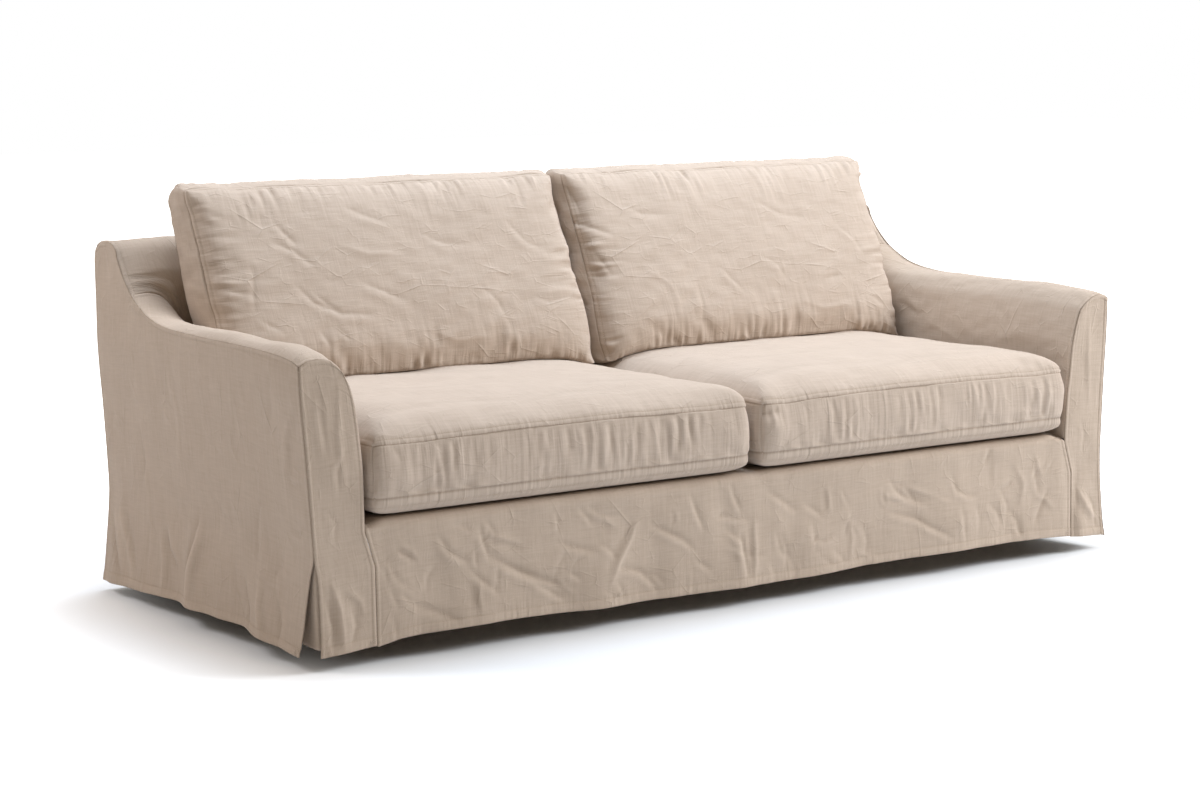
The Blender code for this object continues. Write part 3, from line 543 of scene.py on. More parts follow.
def make_linen_weave():
    """Slub linen: thick and thin yarns both ways, slow drifts of tone, fine crumpling and puckers."""
    group = bpy.data.node_groups.new("slub linen weave", "ShaderNodeTree")
    sockets = group.interface
    for name, kind in (
        ("Cloth place", "Vector"),
        ("Linen", "Color"),
        ("Dark yarn", "Color"),
        ("Slub", "Float"),
        ("Crumple", "Float"),
        ("Crumple grain", "Vector"),
        ("Pucker place", "Vector"),
        ("Pucker depth", "Float"),
        ("Seam and relief shade", "Vector"),
    ):
        sockets.new_socket(name, in_out="INPUT", socket_type=f"NodeSocket{kind}")
    sockets.new_socket("Colour", in_out="OUTPUT", socket_type="NodeSocketColor")
    sockets.new_socket("Height", in_out="OUTPUT", socket_type="NodeSocketFloat")
    given = group.nodes.new("NodeGroupInput").outputs
    result = group.nodes.new("NodeGroupOutput").inputs
    place = given["Cloth place"]

    warp = streaks(group, place, (330.0, 16.0), 3.0)
    weft = streaks(group, place, (18.0, 300.0), 3.0)
    warp_slub = streaks(group, place, (120.0, 9.0), 2.0)
    weft_slub = streaks(group, place, (12.0, 110.0), 2.0)
    yarns = arithmetic(group, "ADD", warp, weft)
    slubs = arithmetic(group, "ADD", warp_slub, arithmetic(group, "MULTIPLY", weft_slub, 0.7))
    both = arithmetic(group, "MULTIPLY_ADD", slubs, 0.8, yarns)
    centred = arithmetic(group, "SUBTRACT", both, 1.68)
    drift = node(group, "ShaderNodeTexNoise", Vector=place, Scale=9.0, Detail=5.0).outputs["Fac"]
    drifted = arithmetic(group, "MULTIPLY_ADD", arithmetic(group, "SUBTRACT", drift, 0.5), 0.7, centred)
    share = arithmetic(group, "MULTIPLY_ADD", drifted, given["Slub"], 0.35)
    # Painted shade: darker troughs, lighter ridges, dark lines in seam grooves and along topstitching.
    seams = node(group, "ShaderNodeSeparateXYZ", Vector=given["Seam and relief shade"]).outputs
    share = arithmetic(group, "MULTIPLY_ADD", seams["Z"], -0.30, share)
    for socket, width, painted_shade in (("X", 0.0008, 0.75), ("Y", 0.0009, 0.20)):
        wide = arithmetic(group, "DIVIDE", seams[socket], width)
        fading = arithmetic(group, "MULTIPLY", squared(group, wide), -1.0)
        line = arithmetic(group, "EXPONENT", fading)
        share = arithmetic(group, "MULTIPLY_ADD", line, painted_shade, share)
    share = node(group, "ShaderNodeClamp", Value=share)
    share.inputs["Max"].default_value = 1.6
    colour = node(group, "ShaderNodeMix")
    colour.data_type = "RGBA"
    colour.clamp_factor = False
    group.links.new(share.outputs["Result"], colour.inputs["Factor"])
    group.links.new(given["Linen"], colour.inputs[6])
    group.links.new(given["Dark yarn"], colour.inputs[7])
    group.links.new(colour.outputs[2], result["Colour"])

    threads = node(group, "ShaderNodeMapping", Vector=place, Scale=(900.0, 900.0, 1.0))
    basket = node(group, "ShaderNodeTexVoronoi", Vector=threads.outputs["Vector"], Scale=1.0)
    basket.distance = "CHEBYCHEV"
    height = arithmetic(group, "MULTIPLY", basket.outputs["Distance"], -0.00012)
    height = arithmetic(group, "MULTIPLY_ADD", both, 0.00030, height)
    grain = group.nodes.new("ShaderNodeVectorMath")
    grain.operation = "MULTIPLY"
    group.links.new(place, grain.inputs[0])
    group.links.new(given["Crumple grain"], grain.inputs[1])
    drawn = grain.outputs["Vector"]
    for scale, width, share_of in ((8.0, 0.0022, 1.0), (19.0, 0.0016, 0.6)):
        lines = node(group, "ShaderNodeTexVoronoi", Vector=drawn, Scale=scale)
        lines.feature = "DISTANCE_TO_EDGE"
        away = arithmetic(group, "DIVIDE", lines.outputs["Distance"], -scale * width)
        where = node(group, "ShaderNodeTexNoise", Vector=drawn, Scale=1.1 * scale, Detail=2.0)
        shown = node(group, "ShaderNodeMapRange", Value=where.outputs["Fac"])
        for socket, value in (("From Min", 0.48), ("From Max", 0.66), ("To Min", 0.0), ("To Max", 1.0)):
            shown.inputs[socket].default_value = value
        depth = arithmetic(group, "MULTIPLY", given["Crumple"], share_of)
        depth = arithmetic(group, "MULTIPLY", depth, shown.outputs["Result"])
        height = arithmetic(group, "MULTIPLY_ADD", arithmetic(group, "EXPONENT", away), depth, height)
    wrinkle = node(group, "ShaderNodeMapping", Vector=drawn, Scale=(14.0, 34.0, 1.0))
    wrinkled = node(group, "ShaderNodeTexNoise", Vector=wrinkle.outputs["Vector"], Scale=1.0, Detail=3.0)
    height = arithmetic(group, "MULTIPLY_ADD", wrinkled.outputs["Fac"], given["Crumple"], height)
    pucker = node(group, "ShaderNodeSeparateXYZ", Vector=given["Pucker place"]).outputs
    for across, away in ((58.0, 6.0), (125.0, 14.0)):
        beside = node(
            group,
            "ShaderNodeCombineXYZ",
            X=arithmetic(group, "MULTIPLY", pucker["X"], across),
            Y=arithmetic(group, "MULTIPLY", pucker["Y"], away),
        )
        ripple = node(group, "ShaderNodeTexNoise", Vector=beside.outputs["Vector"], Scale=1.0, Detail=1.0)
        centred = arithmetic(group, "SUBTRACT", ripple.outputs["Fac"], 0.5)
        calmer = node(group, "ShaderNodeTexNoise", Vector=beside.outputs["Vector"], Scale=0.23, Detail=0.0)
        depth = arithmetic(group, "MULTIPLY", pucker["Z"], given["Pucker depth"])
        depth = arithmetic(group, "MULTIPLY", depth, squared(group, calmer.outputs["Fac"]))
        depth = arithmetic(group, "MULTIPLY", depth, 170.0 / across)
        height = arithmetic(group, "MULTIPLY_ADD", centred, depth, height)
    group.links.new(height, result["Height"])
    return group


LINEN_WEAVE = make_linen_weave()
PUCKER_DEPTH = 0.0045


def linen_material(name, tones, crumple, grain=(1.0, 1.0, 1.0), slub=0.45):
    """Matte washed linen, in the tones of its cloth and dark yarns, with a faint sheen of raised fibres."""
    linen, dark_yarn = tones
    material = bpy.data.materials.new(name)
    material.use_nodes = True
    tree = material.node_tree
    shader = tree.nodes["Principled BSDF"]
    shader.inputs["Sheen Weight"].default_value = 0.15
    shader.inputs["Sheen Roughness"].default_value = 0.5
    shader.inputs["Specular IOR Level"].default_value = 0.15
    shader.inputs["Roughness"].default_value = 0.92
    place = tree.nodes.new("ShaderNodeUVMap")
    place.uv_map = "cloth"
    marks = {}
    for attribute in ("pucker", "seams"):
        marks[attribute] = tree.nodes.new("ShaderNodeAttribute")
        marks[attribute].attribute_name = attribute
    weave = tree.nodes.new("ShaderNodeGroup")
    weave.node_tree = LINEN_WEAVE
    for socket, value in (
        ("Cloth place", place.outputs["UV"]),
        ("Linen", (*linen, 1.0)),
        ("Dark yarn", (*dark_yarn, 1.0)),
        ("Slub", slub),
        ("Crumple", crumple),
        ("Crumple grain", grain),
        ("Pucker place", marks["pucker"].outputs["Vector"]),
        ("Pucker depth", PUCKER_DEPTH),
        # From these marks the weave paints shade in seams and troughs and light on ridges.
        ("Seam and relief shade", marks["seams"].outputs["Vector"]),
    ):
        join(tree, weave.inputs[socket], value)
    bump = node(tree, "ShaderNodeBump", Height=weave.outputs["Height"], Strength=1.0, Distance=1.0)
    tree.links.new(weave.outputs["Colour"], shader.inputs["Base Color"])
    tree.links.new(bump.outputs["Normal"], shader.inputs["Normal"])
    return material


COVER_TONES = ((0.535, 0.435, 0.35), (0.37, 0.29, 0.225))
COVER_LINEN = linen_material("washed slub linen", COVER_TONES, 0.0014, (1.3, 0.8, 1.0))


def make_stitch_tree():
    """A row of stitches along a line: short straight lengths of thread, one after the other."""
    tree = bpy.data.node_groups.new("topstitching", "GeometryNodeTree")
    for name, kind in (
        ("Line", "Geometry"),
        ("Stitch pitch", "Float"),
        ("Stitch length", "Float"),
        ("Thread radius", "Float"),
        ("Thread", "Material"),
    ):
        tree.interface.new_socket(name, in_out="INPUT", socket_type=f"NodeSocket{kind}")
    tree.interface.new_socket("Stitches", in_out="OUTPUT", socket_type="NodeSocketGeometry")
    given = tree.nodes.new("NodeGroupInput").outputs
    result = tree.nodes.new("NodeGroupOutput").inputs
    points = tree.nodes.new("GeometryNodeCurveToPoints")
    points.mode = "LENGTH"
    stitch = tree.nodes.new("GeometryNodeMeshCylinder")
    stitch.inputs["Vertices"].default_value = 4
    copies = tree.nodes.new("GeometryNodeInstanceOnPoints")
    real = tree.nodes.new("GeometryNodeRealizeInstances")
    painted = tree.nodes.new("GeometryNodeSetMaterial")
    for source, target in (
        (given["Line"], points.inputs["Curve"]),
        (given["Stitch pitch"], points.inputs["Length"]),
        (given["Stitch length"], stitch.inputs["Depth"]),
        (given["Thread radius"], stitch.inputs["Radius"]),
        (points.outputs["Points"], copies.inputs["Points"]),
        (points.outputs["Rotation"], copies.inputs["Rotation"]),
        (stitch.outputs["Mesh"], copies.inputs["Instance"]),
        (copies.outputs["Instances"], real.inputs["Geometry"]),
        (real.outputs["Geometry"], painted.inputs["Geometry"]),
        (given["Thread"], painted.inputs["Material"]),
        (painted.outputs["Geometry"], result["Stitches"]),
    ):
        tree.links.new(source, target)
    return tree


STITCH_TREE = make_stitch_tree()


def make_thread():
    material = bpy.data.materials.new("linen thread")
    material.use_nodes = True
    tree = material.node_tree
    shader = tree.nodes["Principled BSDF"]
    place = tree.nodes.new("ShaderNodeTexCoord")
    tone = node(tree, "ShaderNodeTexNoise", Vector=place.outputs["Object"], Scale=60.0)
    ramp = tree.nodes.new("ShaderNodeValToRGB")
    ramp.color_ramp.elements[0].color = (0.42, 0.33, 0.25, 1.0)
    ramp.color_ramp.elements[1].color = (0.56, 0.46, 0.36, 1.0)
    tree.links.new(tone.outputs["Fac"], ramp.inputs["Fac"])
    tree.links.new(ramp.outputs["Color"], shader.inputs["Base Color"])
    shader.inputs["Roughness"].default_value = 0.75
    return material


THREAD = make_thread()
STITCHES = {"Stitch pitch": 0.0050, "Stitch length": 0.0038, "Thread radius": 0.0004, "Thread": THREAD}
THREAD_STANDS = 0.0002  # how far a thread's middle stands above the cloth


def topstitch(name, lines):
    """Rows of stitches along lines on the cloth, as one plain mesh."""
    curve = bpy.data.curves.new(name + "_line", "CURVE")
    curve.dimensions = "3D"
    for line in lines:
        spline = curve.splines.new("POLY")
        spline.points.add(len(line) - 1)
        flat = np.concatenate([line - ORIGIN, np.ones((len(line), 1))], axis=1)
        spline.points.foreach_set("co", flat.ravel())
    guide = bpy.data.objects.new(name + "_line", curve)
    bpy.context.scene.collection.objects.link(guide)
    rows = guide.modifiers.new("Topstitching", "NODES")
    rows.node_group = STITCH_TREE
    for socket in STITCH_TREE.interface.items_tree:
        if socket.name in STITCHES:
            rows[socket.identifier] = STITCHES[socket.name]
    evaluated = guide.evaluated_get(bpy.context.evaluated_depsgraph_get())
    mesh = bpy.data.meshes.new_from_object(evaluated)
    bpy.data.objects.remove(guide)
    stitches = bpy.data.objects.new(name, mesh)
    bpy.context.scene.collection.objects.link(stitches)
    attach(stitches, "root")
    return stitches


def sewn(bottom="hem", top="seam", sides="seam"):
    """How a panel's four edges are finished."""
    return {"start": sides, "end": sides, "bottom": bottom, "top": top}


def sew(name, surface, relief, size, spacing, edges, outward, stitched=(), material=COVER_LINEN):
    """Makes a panel from its smooth surface, its relief and its four edges, with its topstitching.

    The surface and the relief take shares across and up, and the relief gives the cloth's soft
    unevenness and its sharp creases. Stitched names the edges with a row of topstitching.
    """
    across = grid_lines(size[0], spacing, edges["start"], edges["end"])
    up = grid_lines(size[1], spacing, edges["bottom"], edges["top"])
    s, t = np.meshgrid(across / size[0], up / size[1])
    points = surface(s, t)
    by_s, by_t = s * size[0], t * size[1]
    to_end, to_top = (1.0 - s) * size[0], (1.0 - t) * size[1]
    distances = {"start": by_s, "end": to_end, "bottom": by_t, "top": to_top}
    lengthways = {"start": by_t, "end": by_t, "bottom": by_s, "top": by_s}
    calm = np.ones(s.shape)
    raised = np.zeros(s.shape)
    for edge, distance in distances.items():
        raised += edge_relief(edges[edge], distance)
        if edges[edge] == "seam":
            calm *= smoothstep(distance / PUCKERS_REACH)
    worn, sharp = relief(s, t, points)
    raised += sharp * calm
    points = points + surface_normals(points, outward) * (raised + worn * calm)[..., None]
    closed = [edge for edge in edges if edges[edge] != "open"] or ["top"]
    strengths = [PUCKERED[edges[edge]] for edge in closed]
    away = [distances[edge] for edge in closed]
    puckers = pucker_places(away, [lengthways[edge] for edge in closed], strengths)
    puckers[..., 2] *= np.exp(-puckers[..., 1] / PUCKERS_REACH)
    nearest = {}
    for kind in STITCH_LINE:
        nearest[kind] = np.ones(s.shape)
        for edge in edges:
            if edges[edge] == kind:
                nearest[kind] = np.minimum(nearest[kind], distances[edge])
    from_stitches = np.min([np.abs(nearest[kind] - STITCH_LINE[kind]) for kind in nearest], axis=0)
    piece = panel_mesh(name, points, outward, material)
    write_cloth_marks(piece.data, puckers, nearest["seam"], from_stitches, raised)
    threads = points + THREAD_STANDS * surface_normals(points, outward)
    lines = []
    for edge in stitched:
        off_line = np.abs(distances[edge] - STITCH_LINE[edges[edge]])
        if edge in ("start", "end"):
            lines.append(threads[:, int(np.argmin(off_line[0]))])
        else:
            lines.append(threads[int(np.argmin(off_line[:, 0]))])
    return piece, lines


def finish_panel(piece, lines, node_name):
    """Stitches the panel, and puts it on the cover's one body in the place of its CAD node.
    """
    stitches = [topstitch(node_name + "_topstitch", lines)] if lines else []
    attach(piece, "root")
    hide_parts(node_name)


SIDE_SEED = {"left": 10, "right": 20}
SIDE_SPACING = {"left": 0.0066, "right": 0.0095}  # finer on the side that shows
SMALL_SIDE_CREASE = Crease(0.0016, 0.0055, ())
SMALL_CREASES_IN = ((-0.50, 0.12), (0.48, 0.62))  # from one corner of an area to the other
SMALL_CREASES_HEAD = (-2.0, -1.1)  # in radians


def outside_arm(which):
    folds = SIDE_FOLDS[which]
    side = SIDE[which]

    def surface(s, t):
        crest = along(CREST, s)
        crest_y, crest_z = crest[..., 0], crest[..., 1]
        crest_share = (crest_y - FRONT) / (read(REAR, crest_y) - FRONT)
        hem = read(SIDE_HEM, mix(FRONT, REAR[0].y, s))
        z = mix(hem, crest_z, t)
        near_front = np.maximum(1.0 - s / SLIT_REACH, 0.0)
        near_rear = np.maximum(1.0 - (1.0 - s) / SLIT_REACH, 0.0)
        front = FRONT + opening(z, "side", ("front", which)) * near_front
        rear = read(REAR, z) - opening(z, "side", ("rear", which)) * near_rear
        y = mix(front, rear, mix(s, crest_share, t))
        return np.stack([side * (half_width(z) + fold(folds, y, z, hem)), y, z], axis=-1)

    def relief(s, t, points):
        y, z = points[..., 1], points[..., 2]
        seed = SIDE_SEED[which]
        small = strewn(seed, 44, *SMALL_CREASES_IN, SMALL_CREASES_HEAD, SMALL_SIDE_CREASE, 0.075)
        return crumpled(y, z, seed, stretch=1.8), creased([*SIDE_CREASES[which], *small], y, z)

    name = f"outside_arm_{which}"
    piece, lines = sew(
        name + "_linen",
        surface,
        relief,
        size=(1.04, 0.66),
        spacing=SIDE_SPACING[which],
        edges=sewn(),
        outward=(side, 0, 0),
        stitched=("bottom", "top"),
    )
    finish_panel(piece, lines, name)


for which in SIDE:
    outside_arm(which)

# --- Arm front panels ----------------------------------------------------------------------------
# A narrow shaped panel closes each arm at its front, from the domed top to the hem. Its outer edge
# is sewn to the side panel down to the slit, and its inner edge to the inside arm and the apron.

DECK = 0.296  # the height of the seat deck
DECK_HALF = 0.951
APRON_ROUND = 0.021
SEAM_DRIFT = {"left": -0.021, "right": 0.021}  # how far the apron's seams run out at the foot
DRIFT_FROM = DECK - APRON_ROUND
DRIFT_TO = 0.200
FRONT_HEM = (
    Hem(-1.090, 0.029),
    Hem(-0.950, 0.036),
    Hem(-0.880, 0.046),
    Hem(-0.650, 0.051),
    Hem(-0.390, 0.045),
    Hem(0.100, 0.043),
    Hem(0.470, 0.050),
    Hem(0.840, 0.049),
    Hem(0.980, 0.041),
    Hem(1.090, 0.034),
)
Outline = namedtuple("Outline", "x z")
CREST_FOOT = Outline(1.0867, CREST[0].z)
DECK_FOOT = Outline(DECK_HALF + GAP, DECK - 0.012)
ARM_OUTLINE = {
    "left": (
        CREST_FOOT,
        Outline(1.065, 0.6275),
        Outline(1.042, 0.629),
        Outline(1.020, 0.625),
        Outline(1.004, 0.6145),
        Outline(0.991, 0.600),
        Outline(0.980, 0.580),
        Outline(0.970, 0.552),
        Outline(0.963, 0.515),
        Outline(0.957, 0.465),
        Outline(0.951, 0.380),
        DECK_FOOT,
    ),
    "right": (
        CREST_FOOT,
        Outline(1.065, 0.625),
        Outline(1.045, 0.6215),
        Outline(1.028, 0.6135),
        Outline(1.012, 0.602),
        Outline(0.999, 0.589),
        Outline(0.990, 0.566),
        Outline(0.981, 0.537),
        Outline(0.973, 0.500),
        Outline(0.967, 0.450),
        Outline(0.957, 0.372),
        DECK_FOOT,
    ),
}
SHOULDER = 5  # the row where the panel's top edge ends and its inner edge begins
ARM_FRONT_SEED = {"left": 30, "right": 40}
ARM_FRONT_FOLDS = {
    "left": (Fold(-1.005, 0.035, 0.005, 0.22),),
    "right": (Fold(1.000, 0.035, 0.006, 0.20),),
}
ARM_FRONT_CREASES = {
    "left": (
        Crease(-0.0059, 0.0075, ((-1.030, 0.185), (-1.012, 0.120), (-1.005, 0.035))),
        Crease(0.0048, 0.0060, ((-1.045, 0.150), (-1.028, 0.095), (-1.030, 0.035))),
        Crease(0.0039, 0.0060, ((-0.985, 0.130), (-0.975, 0.085), (-0.990, 0.045))),
        Crease(-0.0031, 0.0053, ((-1.000, 0.165), (-0.965, 0.135), (-0.955, 0.100))),
        Crease(-0.0027, 0.0060, ((-1.000, 0.590), (-1.005, 0.480), (-0.995, 0.360))),
        Crease(0.0027, 0.0053, ((-1.045, 0.560), (-1.040, 0.500), (-1.030, 0.430))),
        Crease(0.0023, 0.0045, ((-0.985, 0.450), (-1.010, 0.400), (-1.005, 0.350))),
        Crease(0.0023, 0.0045, ((-1.035, 0.330), (-1.015, 0.300), (-1.020, 0.255))),
    ),
    "right": (
        Crease(-0.0045, 0.0075, ((0.990, 0.165), (1.020, 0.110), (1.065, 0.070))),
        Crease(0.0033, 0.0060, ((1.020, 0.150), (1.045, 0.110), (1.055, 0.050))),
        Crease(-0.0021, 0.0060, ((1.030, 0.580), (1.025, 0.470), (1.030, 0.340))),
        Crease(0.0018, 0.0045, ((1.000, 0.330), (1.015, 0.290), (1.010, 0.240))),
        Crease(0.0021, 0.0053, ((0.975, 0.200), (0.990, 0.150), (0.985, 0.090))),
    ),
}


def apron_edge(which, z):
    """Half the apron's width on one side, at a height."""
    drift = np.clip((DRIFT_FROM - z) / (DRIFT_FROM - DRIFT_TO), 0.0, 1.0)
    return DECK_HALF + SEAM_DRIFT[which] * drift


def arm_front(which):
    outline, side = ARM_OUTLINE[which], SIDE[which]
    hem_outer = float(read(FRONT_HEM, side * half_width(FLARE[0].z)))
    hem_inner = float(read(FRONT_HEM, side * apron_edge(which, DRIFT_TO)))
    heights = [hem_inner, *np.linspace(DRIFT_TO, DRIFT_FROM, 7)]
    inner_points = [(float(apron_edge(which, z)) + GAP, z) for z in heights]
    inner_points += list(reversed(outline[SHOULDER:-1]))
    top_points = [(float(half_width(CREST_FOOT.z)) - LAP, CREST_FOOT.z)] + list(outline[1 : SHOULDER + 1])

    def outer_edge(t):
        z = mix(hem_outer, CREST_FOOT.z, t)
        return np.stack([half_width(z) - LAP - opening(z, "end", ("front", which)), z], axis=-1)

    def surface(s, t):
        inner, outer, top = along(inner_points, t), outer_edge(t), along(top_points, s)
        s, t = s[..., None], t[..., None]
        hem_start, hem_end = outer_edge(np.array(0.0)), along(inner_points, np.array(0.0))
        top_start, top_end = along(top_points, np.array(0.0)), along(top_points, np.array(1.0))
        sides = mix(outer, inner, s)
        ends = mix(mix(hem_start, hem_end, s), top, t)
        corners = mix(mix(hem_start, hem_end, s), mix(top_start, top_end, s), t)
        x, z = np.moveaxis(sides + ends - corners, -1, 0)
        reach = fold(ARM_FRONT_FOLDS[which], side * x, z, hem_outer)
        reach = reach * smoothstep((x - inner[..., 0]) / 0.03)
        return np.stack([side * x, FRONT - reach, z], axis=-1)

    def relief(s, t, points):
        x, z = points[..., 0], points[..., 2]
        worn = crumpled(x, z, ARM_FRONT_SEED[which], stretch=2.2)
        return worn, creased(ARM_FRONT_CREASES[which], x, z)

    name = f"arm_front_{which}"
    piece, lines = sew(
        name + "_linen",
        surface,
        relief,
        size=(0.13, 0.60),
        spacing=0.0045,
        edges=sewn(),
        outward=(0, -1, 0),
        stitched=("bottom", "top", "start"),
    )
    finish_panel(piece, lines, name)


for which in SIDE:
    arm_front(which)

# --- Inside arm panels ---------------------------------------------------------------------------
# Each runs from the crest seam over the domed top of the arm and down its inner side, and tucks in
# beside the seat deck. It is pulled smooth, with a few drag lines.

ARM_ENDS = 0.297  # where the panel meets the inside back, along the crest
DOME_SETTLES = {"left": 0.0, "right": 0.005}
INSIDE_ARM_SEED = {"left": 50, "right": 60}
REAR_SHAPE_FROM = 0.45  # the share of its length from which the arm takes on its rear outline
FACE_TURNS = 0.990  # where the face of the back starts to turn towards the crest seam
TOP_OF_ROLL = 0.439  # the crest falls again behind it
TURNS_TO_CREST = 0.94  # the share of its height from which the arm's top runs into the crest seam
INSIDE_ARM_SPACING = {"left": 0.0085, "right": 0.0056}
REAR_OUTLINE = (
    Outline(1.0847, 0.700),
    Outline(1.065, 0.705),
    Outline(1.045, 0.706),
    Outline(1.020, 0.703),
    Outline(1.000, 0.695),
    Outline(0.985, 0.681),
    Outline(0.973, 0.662),
    Outline(0.966, 0.635),
    Outline(0.962, 0.590),
    Outline(0.959, 0.520),
    Outline(0.954, 0.420),
    DECK_FOOT,
)
Face = namedtuple("Face", "z y")
BACK_FACE = (
    Face(0.284, 0.273),
    Face(0.400, 0.290),
    Face(0.500, 0.305),
    Face(0.600, 0.320),
    Face(0.700, 0.335),
    Face(0.749, 0.351),
)
INSIDE_ARM_CREASES = {
    "left": (
        Crease(0.0016, 0.008, ((0.180, 0.640), (0.080, 0.610), (-0.020, 0.600))),
        Crease(0.0014, 0.007, ((0.270, 0.660), (0.220, 0.610), (0.160, 0.590))),
    ),
    "right": (
        Crease(0.0028, 0.008, ((0.150, 0.610), (0.090, 0.596), (0.000, 0.585), (-0.070, 0.572))),
        Crease(0.0026, 0.007, ((0.125, 0.572), (0.080, 0.556), (0.045, 0.541), (0.015, 0.553))),
        Crease(0.0024, 0.007, ((0.056, 0.662), (0.052, 0.645), (0.058, 0.625))),
        Crease(-0.0016, 0.008, ((0.020, 0.530), (-0.080, 0.500), (-0.150, 0.470))),
        Crease(0.0014, 0.007, ((-0.200, 0.600), (-0.280, 0.560), (-0.330, 0.500))),
        Crease(0.0014, 0.008, ((0.240, 0.650), (0.190, 0.600), (0.130, 0.570))),
    ),
}


def arm_rise(y):
    """How much taller the arm's outline is at places along it than at its front."""
    return (read(CREST, y) - DECK) / (CREST[0].z - DECK)


def back_face(x, z):
    """How far back the front face of the back lies; at its sides it meets the crest seam."""
    crest_by_height = [(row.z, row.y) for row in CREST if row.y <= TOP_OF_ROLL]
    turn = smoothstep((np.abs(x) - FACE_TURNS) / (half_width(z) - LAP - FACE_TURNS))
    return mix(read(BACK_FACE, z), read(crest_by_height, z), turn)


def gathers(from_seam, along_seam, depth, reach, pitch, seed):
    """Small puckers square to a seam, which fade with the distance from it."""
    lines = waves(along_seam, from_seam * 0.12, pitch * 1.6, seed)
    strength = smoothstep(0.55 + 0.6 * waves(along_seam, from_seam * 0.2, pitch * 6.0, seed + 50))
    fade = np.exp(-np.maximum(from_seam, 0.0) / reach) * smoothstep(from_seam / 0.006)
    return depth * lines * fade * strength


def inside_arm(which):
    side = SIDE[which]
    start = FRONT + LAP

    def surface(s, t):
        """Shares run from front to back across, and from the foot up to the crest."""
        front, rear = along(ARM_OUTLINE[which], 1.0 - t), along(REAR_OUTLINE, 1.0 - t)
        front_x, front_z, rear_x, rear_z = front[..., 0], front[..., 1], rear[..., 0], rear[..., 1]
        rear_shape = smoothstep((s - REAR_SHAPE_FROM) / (1.0 - REAR_SHAPE_FROM))
        settled = DOME_SETTLES[which] * smoothstep(s / 0.15) * (1.0 - rear_shape)
        above = front_z - DECK
        raised = DECK + above * arm_rise(mix(start, ARM_ENDS, s))
        raised_rear = DECK + above * arm_rise(np.array(ARM_ENDS))
        x = mix(front_x, rear_x, rear_shape)
        y = mix(start, back_face(rear_x, rear_z) - GAP, s)
        z = raised + (rear_z - raised_rear) * rear_shape - settled * smoothstep((front_z - 0.324) / 0.28)
        z = np.where(above > 0, z, front_z)
        at_crest = smoothstep((t - TURNS_TO_CREST) / 0.06)
        x = mix(x, half_width(z) - LAP, at_crest)
        z = mix(z, read(CREST, y), at_crest)
        return np.stack([side * x, y, z], axis=-1)

    def relief(s, t, points):
        y, z = points[..., 1], points[..., 2]
        worn = crumpled(y, t * 0.46, INSIDE_ARM_SEED[which], stretch=0.6)
        inner_side = 1.0 - smoothstep((t - 0.66) / 0.08)
        front_seam = gathers(y - start, z, 0.0016, 0.05, 0.022, 7)
        return worn, (creased(INSIDE_ARM_CREASES[which], y, z) + front_seam) * inner_side

    name = f"inside_arm_{which}"
    piece, lines = sew(
        name + "_linen",
        surface,
        relief,
        size=(0.84, 0.46),
        spacing=INSIDE_ARM_SPACING[which],
        edges=sewn(bottom="open"),
        outward=(-side, 0, 1),
        stitched=("top", "start"),
    )
    finish_panel(piece, lines, name)


for which in SIDE:
    inside_arm(which)

# --- Inside back panel ---------------------------------------------------------------------------
# One wide panel: from the rear seam forwards over the rolled top of the back and down its face to
# the seat deck. It shows at the left of the cushions and, from behind, as the roll.

ROLL_SEAM = (0.509, 0.765)
Profile = namedtuple("Profile", "y z")
ROLL = (
    Profile(*ROLL_SEAM),
    Profile(0.507, 0.781),
    Profile(0.500, 0.798),
    Profile(0.484, 0.811),
    Profile(0.462, 0.8168),
    Profile(0.439, 0.818),
    Profile(0.414, 0.814),
    Profile(0.389, 0.799),
    Profile(0.375, 0.780),
    Profile(0.351, 0.749),
)
ROLL_SHARE = 0.32  # of the panel's length, from the rear seam to the top of the face


def inside_back():
    foot_line = [(0.98 * DECK_HALF * k / 4, DECK + GAP) for k in range(5)]
    side_line = along(REAR_OUTLINE[:-1], np.linspace(1.0, 0.0, 40))
    foot_line = np.array(foot_line + [(x - GAP, z) for x, z in side_line])
    steps = np.linalg.norm(np.diff(foot_line, axis=0), axis=1)
    marks = np.concatenate([[0.0], np.cumsum(steps)]) / steps.sum()

    def surface(s, t):
        """Shares run from left to right across, and from the foot up over the roll."""
        out = np.abs(2.0 * s - 1.0)
        foot_x, foot_z = np.interp(out, marks, foot_line[:, 0]), np.interp(out, marks, foot_line[:, 1])
        down = 1.0 - t
        roll = along(ROLL, np.clip(down / ROLL_SHARE, 0.0, 1.0))
        stretch = (half_width(roll[..., 1]) - LAP) / foot_line[-1, 0]
        level = np.clip((down - ROLL_SHARE) / (1.0 - ROLL_SHARE), 0.0, 1.0)
        on_face = level > 0
        x, z = mix(foot_x * stretch, foot_x, level), mix(roll[..., 1], foot_z, level)
        y = np.where(on_face, back_face(x, z), roll[..., 0])
        return np.stack([np.sign(s - 0.5) * x, y, z], axis=-1)

    def relief(s, t, points):
        return crumpled(points[..., 0], t * 0.75, 70, stretch=0.5), 0.0

    piece, lines = sew(
        "inside_back_linen",
        surface,
        relief,
        size=(2.16, 0.62),
        spacing=0.0160,
        edges=sewn(bottom="open"),
        outward=(0, -1, 0.4),
        stitched=("start", "end", "top"),
    )
    finish_panel(piece, lines, "inside_back")


inside_back()

# --- Outside back panel --------------------------------------------------------------------------
# The rear panel hangs flat from the seam under the roll to its own hem.

